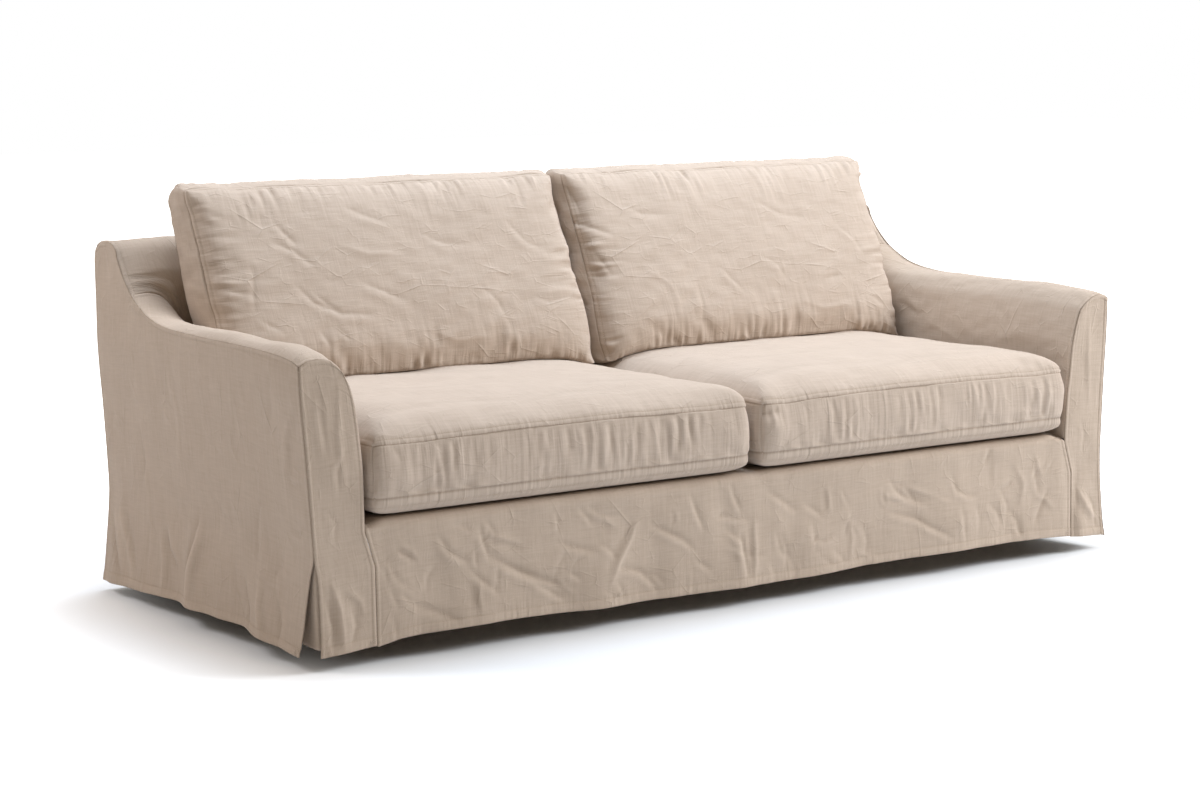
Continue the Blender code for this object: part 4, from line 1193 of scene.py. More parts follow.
REAR_HEM = (Hem(-1.090, 0.026), Hem(-0.500, 0.040), Hem(0.300, 0.037), Hem(1.090, 0.030))
REAR_FOLDS = (
    Fold(-0.850, 0.080, 0.008, 0.30),
    Fold(-0.450, 0.090, 0.010, 0.34),
    Fold(-0.200, 0.060, -0.005, 0.26),
    Fold(0.150, 0.090, 0.009, 0.36),
    Fold(0.550, 0.080, 0.011, 0.30),
    Fold(0.880, 0.060, 0.006, 0.26),
)
REAR_CREASES = (
    Crease(-0.0030, 0.016, ((-0.860, 0.260), (-0.845, 0.160), (-0.870, 0.040))),
    Crease(0.0026, 0.014, ((-0.640, 0.230), (-0.620, 0.140), (-0.640, 0.045))),
    Crease(-0.0030, 0.018, ((-0.420, 0.300), (-0.455, 0.180), (-0.445, 0.045))),
    Crease(0.0026, 0.015, ((-0.050, 0.250), (-0.020, 0.150), (-0.040, 0.045))),
    Crease(-0.0030, 0.018, ((0.170, 0.330), (0.140, 0.200), (0.155, 0.045))),
    Crease(0.0024, 0.015, ((0.380, 0.240), (0.360, 0.140), (0.375, 0.045))),
    Crease(-0.0030, 0.016, ((0.600, 0.290), (0.545, 0.170), (0.560, 0.045))),
    Crease(0.0016, 0.011, ((-0.700, 0.560), (-0.560, 0.500), (-0.480, 0.490))),
    Crease(0.0016, 0.011, ((0.300, 0.620), (0.420, 0.540), (0.560, 0.520))),
    Crease(-0.0016, 0.012, ((-0.150, 0.640), (-0.050, 0.560), (0.100, 0.530))),
    Crease(0.0016, 0.012, ((0.800, 0.480), (0.740, 0.380), (0.760, 0.290))),
)


def outside_back():
    top = ROLL_SEAM[1] - 2 * GAP

    def surface(s, t):
        out = 2.0 * s - 1.0
        hem = read(REAR_HEM, out * half_width(FLARE[0].z))
        z = mix(hem, top, t)
        spread = np.where(out < 0, opening(z, "end", ("rear", "left")), opening(z, "end", ("rear", "right")))
        edge = half_width(z) - LAP - GAP - spread
        x = out * edge
        reach = fold(REAR_FOLDS, x, z, hem) * smoothstep((edge - np.abs(x)) / 0.065)
        return np.stack([x, read(REAR, z) + reach, z], axis=-1)

    def relief(s, t, points):
        x, z = points[..., 0], points[..., 2]
        return crumpled(x, z, 80, stretch=1.5), creased(REAR_CREASES, x, z)

    piece, lines = sew(
        "outside_back_linen",
        surface,
        relief,
        size=(2.17, 0.73),
        spacing=0.0135,
        edges=sewn(),
        outward=(0, 1, 0),
        stitched=("bottom", "top"),
    )
    finish_panel(piece, lines, "outside_back")


outside_back()

# --- Front apron ---------------------------------------------------------------------------------
# The front skirt between the arms. It is sewn to the deck under the cushions, rolls over at the
# front and hangs to the hem, with the sharp creases of cloth that was folded away.

APRON_RETURN = 0.10  # how far the apron runs back under the cushions
APRON_DIP = 0.010  # how far its rolled edge sinks beside the arms
APRON_DIP_WIDTH = 0.050
APRON_FOLDS = (
    Fold(-0.840, 0.060, -0.004, 0.16),
    Fold(-0.700, 0.070, 0.006, 0.18),
    Fold(-0.400, 0.060, 0.010, 0.18),
    Fold(-0.270, 0.050, -0.005, 0.14),
    Fold(-0.030, 0.070, 0.008, 0.20),
    Fold(0.180, 0.060, 0.005, 0.16),
    Fold(0.330, 0.040, -0.005, 0.14),
    Fold(0.600, 0.070, 0.010, 0.20),
    Fold(0.760, 0.050, -0.004, 0.15),
)
APRON_CREASES = (
    Crease(
        0.0063,
        0.0068,
        ((-0.665, 0.195), (-0.625, 0.170), (-0.590, 0.150), (-0.545, 0.130), (-0.480, 0.105)),
    ),
    Crease(0.0044, 0.0056, ((-0.785, 0.250), (-0.760, 0.213), (-0.710, 0.183))),
    Crease(0.0042, 0.0056, ((-0.560, 0.122), (-0.515, 0.098), (-0.475, 0.072))),
    Crease(0.0037, 0.0050, ((-0.687, 0.258), (-0.675, 0.220), (-0.660, 0.178))),
    Crease(-0.0037, 0.0050, ((-0.675, 0.240), (-0.630, 0.225), (-0.575, 0.205))),
    Crease(0.0037, 0.0056, ((-0.715, 0.175), (-0.680, 0.140), (-0.640, 0.110))),
    Crease(0.0037, 0.0093, ((-0.845, 0.115), (-0.790, 0.090), (-0.725, 0.058))),
    Crease(0.0028, 0.0050, ((-0.885, 0.233), (-0.860, 0.217), (-0.830, 0.203))),
    Crease(-0.0035, 0.0056, ((-0.694, 0.140), (-0.690, 0.105), (-0.686, 0.070))),
    Crease(0.0028, 0.0043, ((-0.496, 0.265), (-0.492, 0.240), (-0.488, 0.215))),
    Crease(0.0035, 0.0056, ((-0.505, 0.203), (-0.450, 0.185), (-0.395, 0.168))),
    Crease(0.0030, 0.0050, ((-0.485, 0.143), (-0.460, 0.128), (-0.435, 0.112))),
    Crease(-0.0056, 0.0074, ((-0.290, 0.228), (-0.310, 0.185), (-0.341, 0.145), (-0.370, 0.088))),
    Crease(0.0045, 0.0056, ((-0.355, 0.133), (-0.285, 0.112), (-0.250, 0.080), (-0.235, 0.050))),
    Crease(0.0045, 0.0056, ((-0.262, 0.215), (-0.210, 0.188), (-0.175, 0.170), (-0.138, 0.140))),
    Crease(0.0037, 0.0050, ((-0.153, 0.268), (-0.135, 0.220), (-0.116, 0.178))),
    Crease(0.0030, 0.0050, ((-0.095, 0.215), (-0.040, 0.203), (0.012, 0.190))),
    Crease(0.0032, 0.0050, ((-0.046, 0.282), (-0.030, 0.240), (-0.010, 0.200))),
    Crease(0.0052, 0.0062, ((-0.018, 0.168), (-0.012, 0.120), (-0.002, 0.060))),
    Crease(-0.0050, 0.0062, ((0.020, 0.195), (0.020, 0.120), (0.016, 0.045))),
    Crease(0.0032, 0.0050, ((-0.060, 0.180), (-0.036, 0.163), (-0.012, 0.145))),
    Crease(0.0030, 0.0050, ((-0.142, 0.120), (-0.120, 0.106), (-0.098, 0.092))),
    Crease(0.0037, 0.0056, ((0.055, 0.253), (0.100, 0.225), (0.142, 0.195))),
    Crease(0.0030, 0.0050, ((0.158, 0.214), (0.190, 0.193), (0.218, 0.173))),
    Crease(-0.0030, 0.0050, ((0.225, 0.250), (0.230, 0.215), (0.234, 0.175))),
    Crease(0.0045, 0.0056, ((0.405, 0.245), (0.425, 0.215), (0.450, 0.197), (0.525, 0.168))),
    Crease(-0.0035, 0.0050, ((0.440, 0.222), (0.485, 0.208), (0.540, 0.188))),
    Crease(0.0047, 0.0056, ((0.395, 0.168), (0.485, 0.142), (0.520, 0.121), (0.600, 0.080))),
    Crease(0.0037, 0.0050, ((0.590, 0.235), (0.610, 0.193), (0.640, 0.180), (0.675, 0.174))),
    Crease(0.0037, 0.0062, ((0.622, 0.155), (0.630, 0.105), (0.637, 0.058))),
    Crease(0.0037, 0.0068, ((0.900, 0.170), (0.878, 0.130), (0.855, 0.085))),
    Crease(0.0028, 0.0050, ((0.715, 0.285), (0.706, 0.262), (0.698, 0.243))),
    Crease(0.0050, 0.0050, ((-0.945, 0.268), (-0.934, 0.215), (-0.928, 0.160))),
    Crease(-0.0025, 0.0062, ((0.280, 0.180), (0.300, 0.120), (0.290, 0.055))),
    Crease(0.0028, 0.0062, ((0.330, 0.150), (0.345, 0.100), (0.335, 0.052))),
    Crease(0.0025, 0.0056, ((0.740, 0.190), (0.770, 0.140), (0.765, 0.070))),
    Crease(-0.0025, 0.0062, ((0.790, 0.240), (0.820, 0.190), (0.812, 0.130))),
    Crease(0.0022, 0.0050, ((-0.420, 0.270), (-0.385, 0.245), (-0.340, 0.240))),
    Crease(0.0025, 0.0056, ((0.090, 0.160), (0.110, 0.110), (0.105, 0.060))),
)
FALLING, LEANING = (-1.4, -0.2), (-2.8, -1.6)  # headings of small creases, in radians
CREASED_LINEN = linen_material("creased slub linen", COVER_TONES, 0.0013, (0.8, 1.1, 1.0))


def front_apron():
    arc = math.pi / 2 * APRON_ROUND
    flat = APRON_RETURN - APRON_ROUND

    def surface(s, t):
        out = 2.0 * s - 1.0
        at = out * DECK_HALF
        hem = read(FRONT_HEM, at)
        inner = smoothstep((DECK_HALF - np.abs(at)) / APRON_DIP_WIDTH)
        dip = APRON_DIP * (1.0 - inner)
        skirt = DRIFT_FROM - hem
        run = t * (skirt + arc + flat)
        turned = np.clip((run - skirt) / APRON_ROUND, 0.0, math.pi / 2)
        back = np.clip(run - skirt - arc, 0.0, flat)
        z = np.minimum(hem + run, DRIFT_FROM)
        y = FRONT - fold(APRON_FOLDS, at, z, hem) * inner
        y = np.where(turned > 0, FRONT + APRON_ROUND * (1.0 - np.cos(turned)) + back, y)
        width = np.where(out < 0, apron_edge("left", z), apron_edge("right", z))
        x = out * width
        z = z + APRON_ROUND * np.sin(turned) - dip * smoothstep(turned) * (1.0 - back / flat)
        return np.stack([x, y, z], axis=-1)

    def relief(s, t, points):
        x, z = points[..., 0], points[..., 2]
        below = 1.0 - smoothstep((points[..., 1] - FRONT - 0.002) / 0.01)
        showing = 0.25 + 0.75 * below
        small = strewn(91, 44, (-0.93, 0.08), (0.90, 0.27), FALLING, Crease(0.0030, 0.0048, ()), 0.065)
        small += strewn(92, 16, (-0.90, 0.12), (0.93, 0.27), LEANING, Crease(0.0026, 0.0045, ()), 0.055)
        return 1.3 * crumpled(x, z, 90) * showing, creased([*APRON_CREASES, *small], x, z) * showing

    piece, lines = sew(
        "front_apron_linen",
        surface,
        relief,
        size=(1.94, 0.345),
        spacing=0.0048,
        edges=sewn(top="open"),
        outward=(0, -1, 0),
        stitched=("bottom",),
        material=CREASED_LINEN,
    )
    finish_panel(piece, lines, "front_apron")


front_apron()

# --- Seat deck -----------------------------------------------------------------------------------
# A plain, flat cloth under the cushions, sewn to the apron and to the inside back.

DECK_TONES = ((0.50, 0.405, 0.32), (0.40, 0.32, 0.25))
DECK_CLOTH = linen_material("plain deck cloth", DECK_TONES, 0.001, slub=0.3)
OPEN_EDGES = sewn("open", "open", "open")


def seat_deck():
    half = DECK_HALF - GAP
    front, rear = FRONT + APRON_RETURN + GAP, float(read(BACK_FACE, DECK)) - GAP

    def surface(s, t):
        return np.stack([mix(-half, half, s), mix(front, rear, t), np.full(s.shape, DECK)], axis=-1)

    def relief(s, t, points):
        return np.minimum(0.4 * crumpled(points[..., 0], points[..., 1], 100), 0.0), 0.0

    piece, lines = sew(
        "seat_deck_cloth",
        surface,
        relief,
        size=(1.90, 0.70),
        spacing=0.03,
        edges=OPEN_EDGES,
        outward=(0, 0, 1),
        material=DECK_CLOTH,
    )
    finish_panel(piece, lines, "seat_deck")


seat_deck()

# --- Corner inserts ------------------------------------------------------------------------------
# A folded strip of the same linen is sewn in behind each of the skirt's four slits, and hangs
# straight, so that the skirt stays closed where the flaps part.

INSERT_WIDTH = 0.075  # each way from the corner
INSERT_TOP = 0.262
INSERT_HEM = 0.044
INSERT_AT_TOP = 0.0032  # how far inside the skirt it hangs, at its top and at its hem
INSERT_AT_HEM = 0.010
INSERT_ROUND = 0.006


def slit_insert(place, which):
    side, end = SIDE[which], -1 if place == "front" else 1
    corner_x = float(half_width(SLIT_TOP))
    corner_y = FRONT if place == "front" else float(read(REAR, INSERT_TOP))
    straight = INSERT_WIDTH - 2 * INSERT_ROUND
    fold_arc = math.pi / 2 * INSERT_ROUND

    def surface(s, t):
        z = mix(INSERT_HEM, INSERT_TOP, t)
        inset = mix(INSERT_AT_HEM, INSERT_AT_TOP, t)
        run = s * (2 * straight + fold_arc)
        turned = np.clip((run - straight) / INSERT_ROUND, 0.0, math.pi / 2)
        first = np.clip(straight - run, 0.0, straight)
        second = np.clip(run - straight - fold_arc, 0.0, straight)
        in_x = INSERT_ROUND * (1.0 - np.cos(turned)) + second
        in_y = INSERT_ROUND * (1.0 - np.sin(turned)) + first
        x = side * (corner_x - inset - in_x)
        y = corner_y - end * (inset + in_y)
        return np.stack([x, y, z], axis=-1)

    def relief(s, t, points):
        return 0.4 * crumpled(s * 0.15, points[..., 2], 110, stretch=2.0) - 0.0004, 0.0

    name = f"slit_insert_{place}_{which}"
    piece, lines = sew(
        name + "_linen",
        surface,
        relief,
        size=(0.135, 0.218),
        spacing=0.0060,
        edges=OPEN_EDGES,
        outward=(side, end, 0),
    )
    finish_panel(piece, lines, name)


for place in ("front", "rear"):
    for which in SIDE:
        slit_insert(place, which)

# --- Seat cushions -------------------------------------------------------------------------------
# Two box cushions of the same linen over foam with a soft wrap. Each has a full crown, a seam with
# topstitching above and below its boxing, small gathers along the seams and softly drawn-in sides.

CUSHION_TONES = ((0.555, 0.457, 0.378), (0.39, 0.31, 0.245))
CUSHION_LINEN = linen_material("cushion linen", CUSHION_TONES, 0.0014, (0.75, 1.5, 1.0))
CUSHION_CELL = 0.016
EDGE_LINES["soft"] = (0.0, 0.0030, 0.0060, 0.0095, 0.0180)
CUSHION_STITCH_LINE = 0.0060
DRAWN_IN_RIM = 0.200  # how far in from a side it still draws the crown in
CORNER_INSIDE = 0.293  # of its radius: how far a round corner lies inside a sharp one, each way
NEAR = 1e-4  # how closely a place on a cushion's box is told

Box = namedtuple("Box", "half_x half_y corner drawn_in depth low boxing high")
Ring = namedtuple("Ring", "inset height")
Bulge = namedtuple("Bulge", "share out")

SEAT_SEAM = 0.4430
SEAT_LOW_SEAM = 0.3410
SEAT_CROWN = (
    Ring(0.000, SEAT_SEAM),
    Ring(0.010, 0.4600),
    Ring(0.032, 0.4770),
    Ring(0.075, 0.4910),
    Ring(0.150, 0.5010),
    Ring(0.250, 0.5050),
)
SEAT_SOLE = (
    Ring(0.000, SEAT_LOW_SEAM),
    Ring(0.003, 0.3240),
    Ring(0.014, 0.3105),
    Ring(0.036, 0.3015),
    Ring(0.080, 0.2968),
    Ring(0.250, 0.2963),
)
SEAT_BOXING = (Bulge(0.0, 0.0), Bulge(0.25, 0.007), Bulge(0.56, 0.008), Bulge(1.0, 0.0))
SEAT_FRONT = -0.540
SEAT_REAR = 0.262
SEAT_SEAM_RISE = 0.008  # of the upper seam, in the middle of each side
SEAT_RISE_BAND = 0.060
SEAT_RISE_INNER = 0.6
SEAT_SPANS = {"left": (-0.942, 0.0105), "right": (0.0275, 0.942)}
SEAT_CORNER = 0.040
SEAT_DRAWN_IN = 0.005
SEAT_SEED = {"left": 130, "right": 140}
# Creases on the front boxing by x and z, and on the top by x and y
SEAT_BOXING_CREASES = {
    "left": (
        Crease(0.0016, 0.0070, ((-0.785, 0.440), (-0.780, 0.415), (-0.778, 0.392))),
        Crease(0.0018, 0.0060, ((-0.750, 0.442), (-0.748, 0.415), (-0.752, 0.385))),
        Crease(0.0023, 0.0070, ((-0.702, 0.444), (-0.700, 0.410), (-0.695, 0.375))),
        Crease(0.0018, 0.0060, ((-0.684, 0.444), (-0.686, 0.420), (-0.690, 0.398))),
        Crease(0.0019, 0.0070, ((-0.662, 0.445), (-0.665, 0.415), (-0.660, 0.380))),
        Crease(0.0018, 0.0060, ((-0.627, 0.445), (-0.627, 0.420), (-0.632, 0.392))),
        Crease(0.0016, 0.0070, ((-0.566, 0.446), (-0.566, 0.415), (-0.572, 0.385))),
        Crease(0.0016, 0.0060, ((-0.520, 0.446), (-0.520, 0.425), (-0.516, 0.400))),
        Crease(0.0019, 0.0060, ((-0.468, 0.446), (-0.468, 0.415), (-0.474, 0.380))),
        Crease(0.0018, 0.0060, ((-0.450, 0.446), (-0.450, 0.425), (-0.446, 0.400))),
        Crease(0.0018, 0.0060, ((-0.435, 0.446), (-0.434, 0.418), (-0.438, 0.388))),
        Crease(0.0016, 0.0060, ((-0.420, 0.446), (-0.419, 0.425), (-0.414, 0.402))),
        Crease(0.0018, 0.0070, ((-0.367, 0.446), (-0.367, 0.415), (-0.362, 0.380))),
        Crease(0.0016, 0.0070, ((-0.300, 0.446), (-0.300, 0.418), (-0.306, 0.388))),
        Crease(0.0030, 0.0080, ((-0.189, 0.446), (-0.189, 0.410), (-0.196, 0.362))),
        Crease(0.0029, 0.0070, ((-0.162, 0.446), (-0.162, 0.412), (-0.156, 0.370))),
        Crease(0.0019, 0.0080, ((-0.105, 0.446), (-0.104, 0.415), (-0.108, 0.378))),
        Crease(0.0019, 0.0080, ((-0.040, 0.444), (-0.040, 0.415), (-0.036, 0.385))),
        Crease(0.0023, 0.0090, ((-0.735, 0.352), (-0.713, 0.343), (-0.634, 0.314))),
        Crease(0.0023, 0.0090, ((-0.530, 0.354), (-0.509, 0.345), (-0.447, 0.315))),
        Crease(0.0019, 0.0080, ((-0.330, 0.350), (-0.290, 0.338), (-0.240, 0.318))),
        Crease(0.0018, 0.0070, ((-0.895, 0.455), (-0.882, 0.430), (-0.869, 0.405))),
        Crease(-0.0015, 0.0100, ((-0.880, 0.375), (-0.820, 0.372), (-0.740, 0.380))),
        Crease(-0.0014, 0.0100, ((-0.600, 0.362), (-0.540, 0.372), (-0.490, 0.362))),
    ),
    "right": (
        Crease(0.0045, 0.0100, ((0.024, 0.428), (0.045, 0.425), (0.075, 0.431))),
        Crease(0.0023, 0.0080, ((0.070, 0.446), (0.085, 0.415), (0.092, 0.380))),
        Crease(0.0018, 0.0070, ((0.155, 0.446), (0.158, 0.415), (0.152, 0.385))),
        Crease(0.0019, 0.0070, ((0.232, 0.446), (0.236, 0.412), (0.230, 0.372))),
        Crease(0.0016, 0.0060, ((0.262, 0.446), (0.264, 0.420), (0.270, 0.395))),
        Crease(0.0018, 0.0070, ((0.340, 0.446), (0.338, 0.415), (0.344, 0.380))),
        Crease(0.0019, 0.0070, ((0.425, 0.446), (0.428, 0.415), (0.422, 0.375))),
        Crease(0.0016, 0.0060, ((0.452, 0.446), (0.452, 0.422), (0.458, 0.400))),
        Crease(0.0018, 0.0070, ((0.545, 0.446), (0.548, 0.415), (0.542, 0.382))),
        Crease(0.0019, 0.0070, ((0.630, 0.446), (0.628, 0.415), (0.634, 0.378))),
        Crease(0.0016, 0.0060, ((0.665, 0.446), (0.668, 0.422), (0.662, 0.398))),
        Crease(0.0018, 0.0070, ((0.755, 0.446), (0.752, 0.415), (0.758, 0.382))),
        Crease(0.0018, 0.0070, ((0.835, 0.446), (0.838, 0.415), (0.832, 0.385))),
        Crease(0.0021, 0.0090, ((0.180, 0.352), (0.230, 0.340), (0.290, 0.316))),
        Crease(0.0019, 0.0090, ((0.500, 0.350), (0.560, 0.338), (0.620, 0.318))),
        Crease(-0.0014, 0.0100, ((0.300, 0.372), (0.370, 0.362), (0.450, 0.368))),
        Crease(-0.0014, 0.0100, ((0.690, 0.362), (0.760, 0.370), (0.860, 0.362))),
    ),
}
SEAT_TOP_CREASES = {
    "left": (
        Crease(0.0016, 0.014, ((-0.880, -0.440), (-0.700, -0.410), (-0.520, -0.440))),
        Crease(0.0014, 0.012, ((-0.600, -0.480), (-0.420, -0.430), (-0.200, -0.450))),
        Crease(0.0016, 0.014, ((-0.330, -0.350), (-0.150, -0.400), (-0.020, -0.470))),
        Crease(0.0014, 0.012, ((-0.820, -0.150), (-0.640, -0.230), (-0.450, -0.240))),
        Crease(0.0014, 0.014, ((-0.300, -0.100), (-0.200, -0.220), (-0.060, -0.290))),
    ),
    "right": (
        Crease(0.0016, 0.014, ((0.080, -0.440), (0.240, -0.400), (0.420, -0.430))),
        Crease(0.0014, 0.012, ((0.380, -0.480), (0.560, -0.430), (0.800, -0.450))),
        Crease(0.0016, 0.014, ((0.600, -0.350), (0.760, -0.400), (0.900, -0.470))),
        Crease(0.0014, 0.012, ((0.140, -0.180), (0.320, -0.240), (0.500, -0.220))),
        Crease(0.0014, 0.014, ((0.620, -0.120), (0.720, -0.220), (0.860, -0.280))),
    ),
}


def box_lattice(box):
    """Places on a box, from -1 to 1 both ways and 0 to 1 from seam to seam, its faces and their sides."""
    lengths = (2 * box.half_x, 2 * box.half_y, box.depth)
    lines = [grid_lines(length, CUSHION_CELL, "soft", "soft") / length for length in lengths]
    lines[0], lines[1] = 2 * lines[0] - 1, 2 * lines[1] - 1
    last = [len(line) - 1 for line in lines]
    i, j, k = np.meshgrid(*[np.arange(count + 1) for count in last], indexing="ij")
    outside = (i == 0) | (i == last[0]) | (j == 0) | (j == last[1]) | (k == 0) | (k == last[2])
    numbers = np.cumsum(outside).reshape(outside.shape) - 1
    places = np.stack([lines[0][i[outside]], lines[1][j[outside]], lines[2][k[outside]]], axis=1)
    quads, sides = [], []
    for axis in range(3):
        for end in (0, -1):
            sheet = np.take(numbers, end, axis=axis)
            quad = [sheet[:-1, :-1], sheet[1:, :-1], sheet[1:, 1:], sheet[:-1, 1:]]
            quad = np.stack(quad, axis=-1).reshape(-1, 4)
            quads.append(quad if (end == -1) != (axis == 1) else quad[:, ::-1])
            sides.append(np.full(len(quad), axis))
    return places, np.concatenate(quads), np.concatenate(sides)


def box_points(box, places, put):
    """The smooth form: its plan, with rounded corners and drawn-in sides, and its height or depth."""
    u, v, w = places.T
    to_x = np.maximum(box.half_x * (1.0 - np.abs(u)), 1e-6)
    to_y = np.maximum(box.half_y * (1.0 - np.abs(v)), 1e-6)
    inset = (to_x**-4.0 + to_y**-4.0) ** -0.25
    height = mix(box.low[0].height, box.high[0].height, w)
    height = np.where(w >= 1.0, read(box.high, inset), np.where(w <= 0.0, read(box.low, inset), height))
    out_x, out_y = np.sign(u) * np.abs(u) ** 40, np.sign(v) * np.abs(v) ** 40
    bulge = read(box.boxing, w) / np.maximum(np.hypot(out_x, out_y), 1e-6)
    bulge = np.where((w <= 0.0) | (w >= 1.0), 0.0, bulge)
    corner = CORNER_INSIDE * box.corner * np.abs(u * v) ** (2.5 * box.half_y / box.corner)
    rim = np.clip(1.0 - inset / DRAWN_IN_RIM, 0.0, 1.0) * box.drawn_in
    pull_x = rim * np.cos(0.5 * math.pi * v) * np.abs(u) ** 6
    pull_y = rim * np.cos(0.5 * math.pi * u) * np.abs(v) ** 6
    x = box.half_x * u + bulge * out_x - np.sign(u) * (corner + pull_x)
    y = box.half_y * v + bulge * out_y - np.sign(v) * (corner + pull_y)
    return put(x / box.half_x, y / box.half_y, height)


SWELL_STEPS = 20


def swell(piece, held, cap):
    """Cloth simulation of the cover over its filling: it swells and buckles, by no more than a cap."""
    mesh = piece.data
    before = pulled(mesh.vertices, "co", 3)
    group = piece.vertex_groups.new(name="held")
    for number, weight in enumerate(held):
        group.add([number], float(weight), "REPLACE")
    cloth = piece.modifiers.new("Filling", "CLOTH")
    cloth.settings.quality = 6
    cloth.settings.mass = 0.25
    cloth.settings.tension_stiffness = 22.0
    cloth.settings.compression_stiffness = 22.0
    cloth.settings.shear_stiffness = 8.0
    cloth.settings.bending_stiffness = 0.12
    cloth.settings.tension_damping = 12.0
    cloth.settings.air_damping = 3.0
    cloth.settings.shrink_min = -0.035
    cloth.settings.use_pressure = True
    cloth.settings.uniform_pressure_force = 4.0
    cloth.settings.vertex_group_mass = "held"
    cloth.settings.pin_stiffness = 1.2
    cloth.settings.effector_weights.gravity = 0.0
    cloth.point_cache.frame_start = 1
    cloth.point_cache.frame_end = SWELL_STEPS
    for step in range(1, SWELL_STEPS + 1):
        bpy.context.scene.frame_set(step)
    evaluated = piece.evaluated_get(bpy.context.evaluated_depsgraph_get())
    moved = pulled(evaluated.to_mesh().vertices, "co", 3) - before
    evaluated.to_mesh_clear()
    piece.modifiers.remove(cloth)
    piece.vertex_groups.remove(group)
    bpy.context.scene.frame_set(1)
    length = np.linalg.norm(moved, axis=1, keepdims=True)
    moved *= cap * np.tanh(length / cap) / np.maximum(length, 1e-9)
    mesh.vertices.foreach_set("co", (before + moved).astype(np.float32).ravel())


def subdivided(piece):
    finer = piece.modifiers.new("Finer", "SUBSURF")
    finer.levels = 1
    finer.render_levels = 1
    evaluated = piece.evaluated_get(bpy.context.evaluated_depsgraph_get())
    piece.data = bpy.data.meshes.new_from_object(evaluated)
    piece.modifiers.remove(finer)


def lattice_marks(mesh):
    """Each point's place on its box, and the side of the box that each face is on."""
    places, sides = mesh.attributes["place"].data, mesh.attributes["side"].data
    return pulled(places, "vector", 3), pulled(sides, "value")


def faces_on(mesh, side, end):
    """The faces on one side of the box, told by two opposite corners of each."""
    places, sides = lattice_marks(mesh)
    loops, starts = pulled(mesh.loops, "vertex_index"), pulled(mesh.polygons, "loop_start")
    corners = places[np.stack([loops[starts], loops[starts + 2]], axis=1)]
    return (np.abs(corners[:, :, side] - end) < NEAR).all(axis=1) & (sides == side)


def finer_side(piece, fine):
    """Splits the faces that show most once more, both ways."""
    mesh = piece.data
    cloth = bmesh.new()
    cloth.from_mesh(mesh)
    cloth.faces.ensure_lookup_table()
    edges = {edge for face, wanted in zip(cloth.faces, fine) if wanted for edge in face.edges}
    bmesh.ops.subdivide_edges(cloth, edges=list(edges), cuts=1, use_grid_fill=True, smooth=0.0)
    cloth.to_mesh(mesh)
    cloth.free()


def from_seams(box, places):
    """How far each point is from the four rims of its face or the two seams of its boxing."""
    u, v, w = places.T
    to_x, to_y = box.half_x * (1.0 - np.abs(u)), box.half_y * (1.0 - np.abs(v))
    on_face = (w < NEAR) | (w > 1.0 - NEAR)
    to_seam = np.where(on_face, np.minimum(to_x, to_y), box.depth * np.minimum(w, 1.0 - w))
    return to_x, to_y, to_seam, on_face


def cushion_puckers(box, places, reach, on_boxing):
    """Gathers run square to the seams: into the faces over a reach, and across the whole boxing."""
    u, v, w = places.T
    to_x, to_y, to_seam, on_face = from_seams(box, places)
    by_x = to_x < to_y
    along_seam = np.where(by_x, box.half_y * v + 5.0 * np.sign(u), box.half_x * u + 9.0 * np.sign(v))
    away = np.where(on_face, to_seam, box.depth * w)
    strength = np.where(on_face, np.exp(-to_seam / reach), on_boxing)
    strength *= smoothstep(np.abs(to_x - to_y) / 0.03)
    return np.stack([along_seam, away, strength], axis=-1)


def seam_relief(box, places, puckers, depth, seed):
    """The groove of each seam and its topstitching, and the larger gathers that run out from them."""
    to_seam, on_face = from_seams(box, places)[2:]
    along_seam, away, strength = puckers.T
    uneven = smoothstep(0.55 + 0.6 * waves(along_seam, 0.5 * away, 0.19, seed + 1))
    pulls = waves(along_seam, 0.15 * away, 0.027, seed)
    pulls = pulls + 0.6 * waves(along_seam, 0.2 * away, 0.016, seed + 2)
    relief = depth * strength * uneven * smoothstep(to_seam / 0.018) * pulls
    relief -= np.where(places[:, 2] < 0.5, 0.0007, 0.0015) * hump(to_seam, 0.0, 0.0020)
    relief -= 0.0006 * hump(to_seam, CUSHION_STITCH_LINE, STITCH_WIDTH) * on_face
    relief += 0.0006 * hump(to_seam, 0.5 * CUSHION_STITCH_LINE, 0.0020) * on_face
    return relief


RIMS = {"left": (0, -1), "right": (0, 1), "front": (1, -1), "rear": (1, 1)}
UPPER_FACE = (2, 1)


def stitch_rows(box, places, points, normals, rows):
    """Lines just inside the seam, along the rims whose topstitching shows, above (1) or below (0)."""
    rim_at = 1.0 - CUSHION_STITCH_LINE / np.array([box.half_x, box.half_y])
    lines = []
    for face, rim in rows:
        way, end = RIMS[rim]
        other = 1 - way
        row = (np.abs(places[:, way] - end * rim_at[way]) < NEAR) & (np.abs(places[:, 2] - face) < NEAR)
        row &= np.abs(places[:, other]) < rim_at[other] + NEAR
        order = np.nonzero(row)[0]
        order = order[np.argsort(places[order, other])]
        lines.append(points[order] + THREAD_STANDS * normals[order])
    return lines


Swelling = namedtuple("Swelling", "held cap")
Gathers = namedtuple("Gathers", "depth reach on_boxing seed")


def cut_cushion(name, box, put):
    """The cushion's box of cloth as a plain mesh, which keeps the places of its points on the box."""
    places, quads, sides = box_lattice(box)
    mesh = bpy.data.meshes.new(name)
    mesh.from_pydata((box_points(box, places, put) - ORIGIN).tolist(), [], quads.tolist())
    mesh.attributes.new("place", "FLOAT_VECTOR", "POINT").data.foreach_set("vector", places.ravel())
    mesh.attributes.new("side", "INT", "FACE").data.foreach_set("value", sides)
    mesh.materials.append(CUSHION_LINEN)
    piece = bpy.data.objects.new(name, mesh)
    bpy.context.scene.collection.objects.link(piece)
    return piece, places


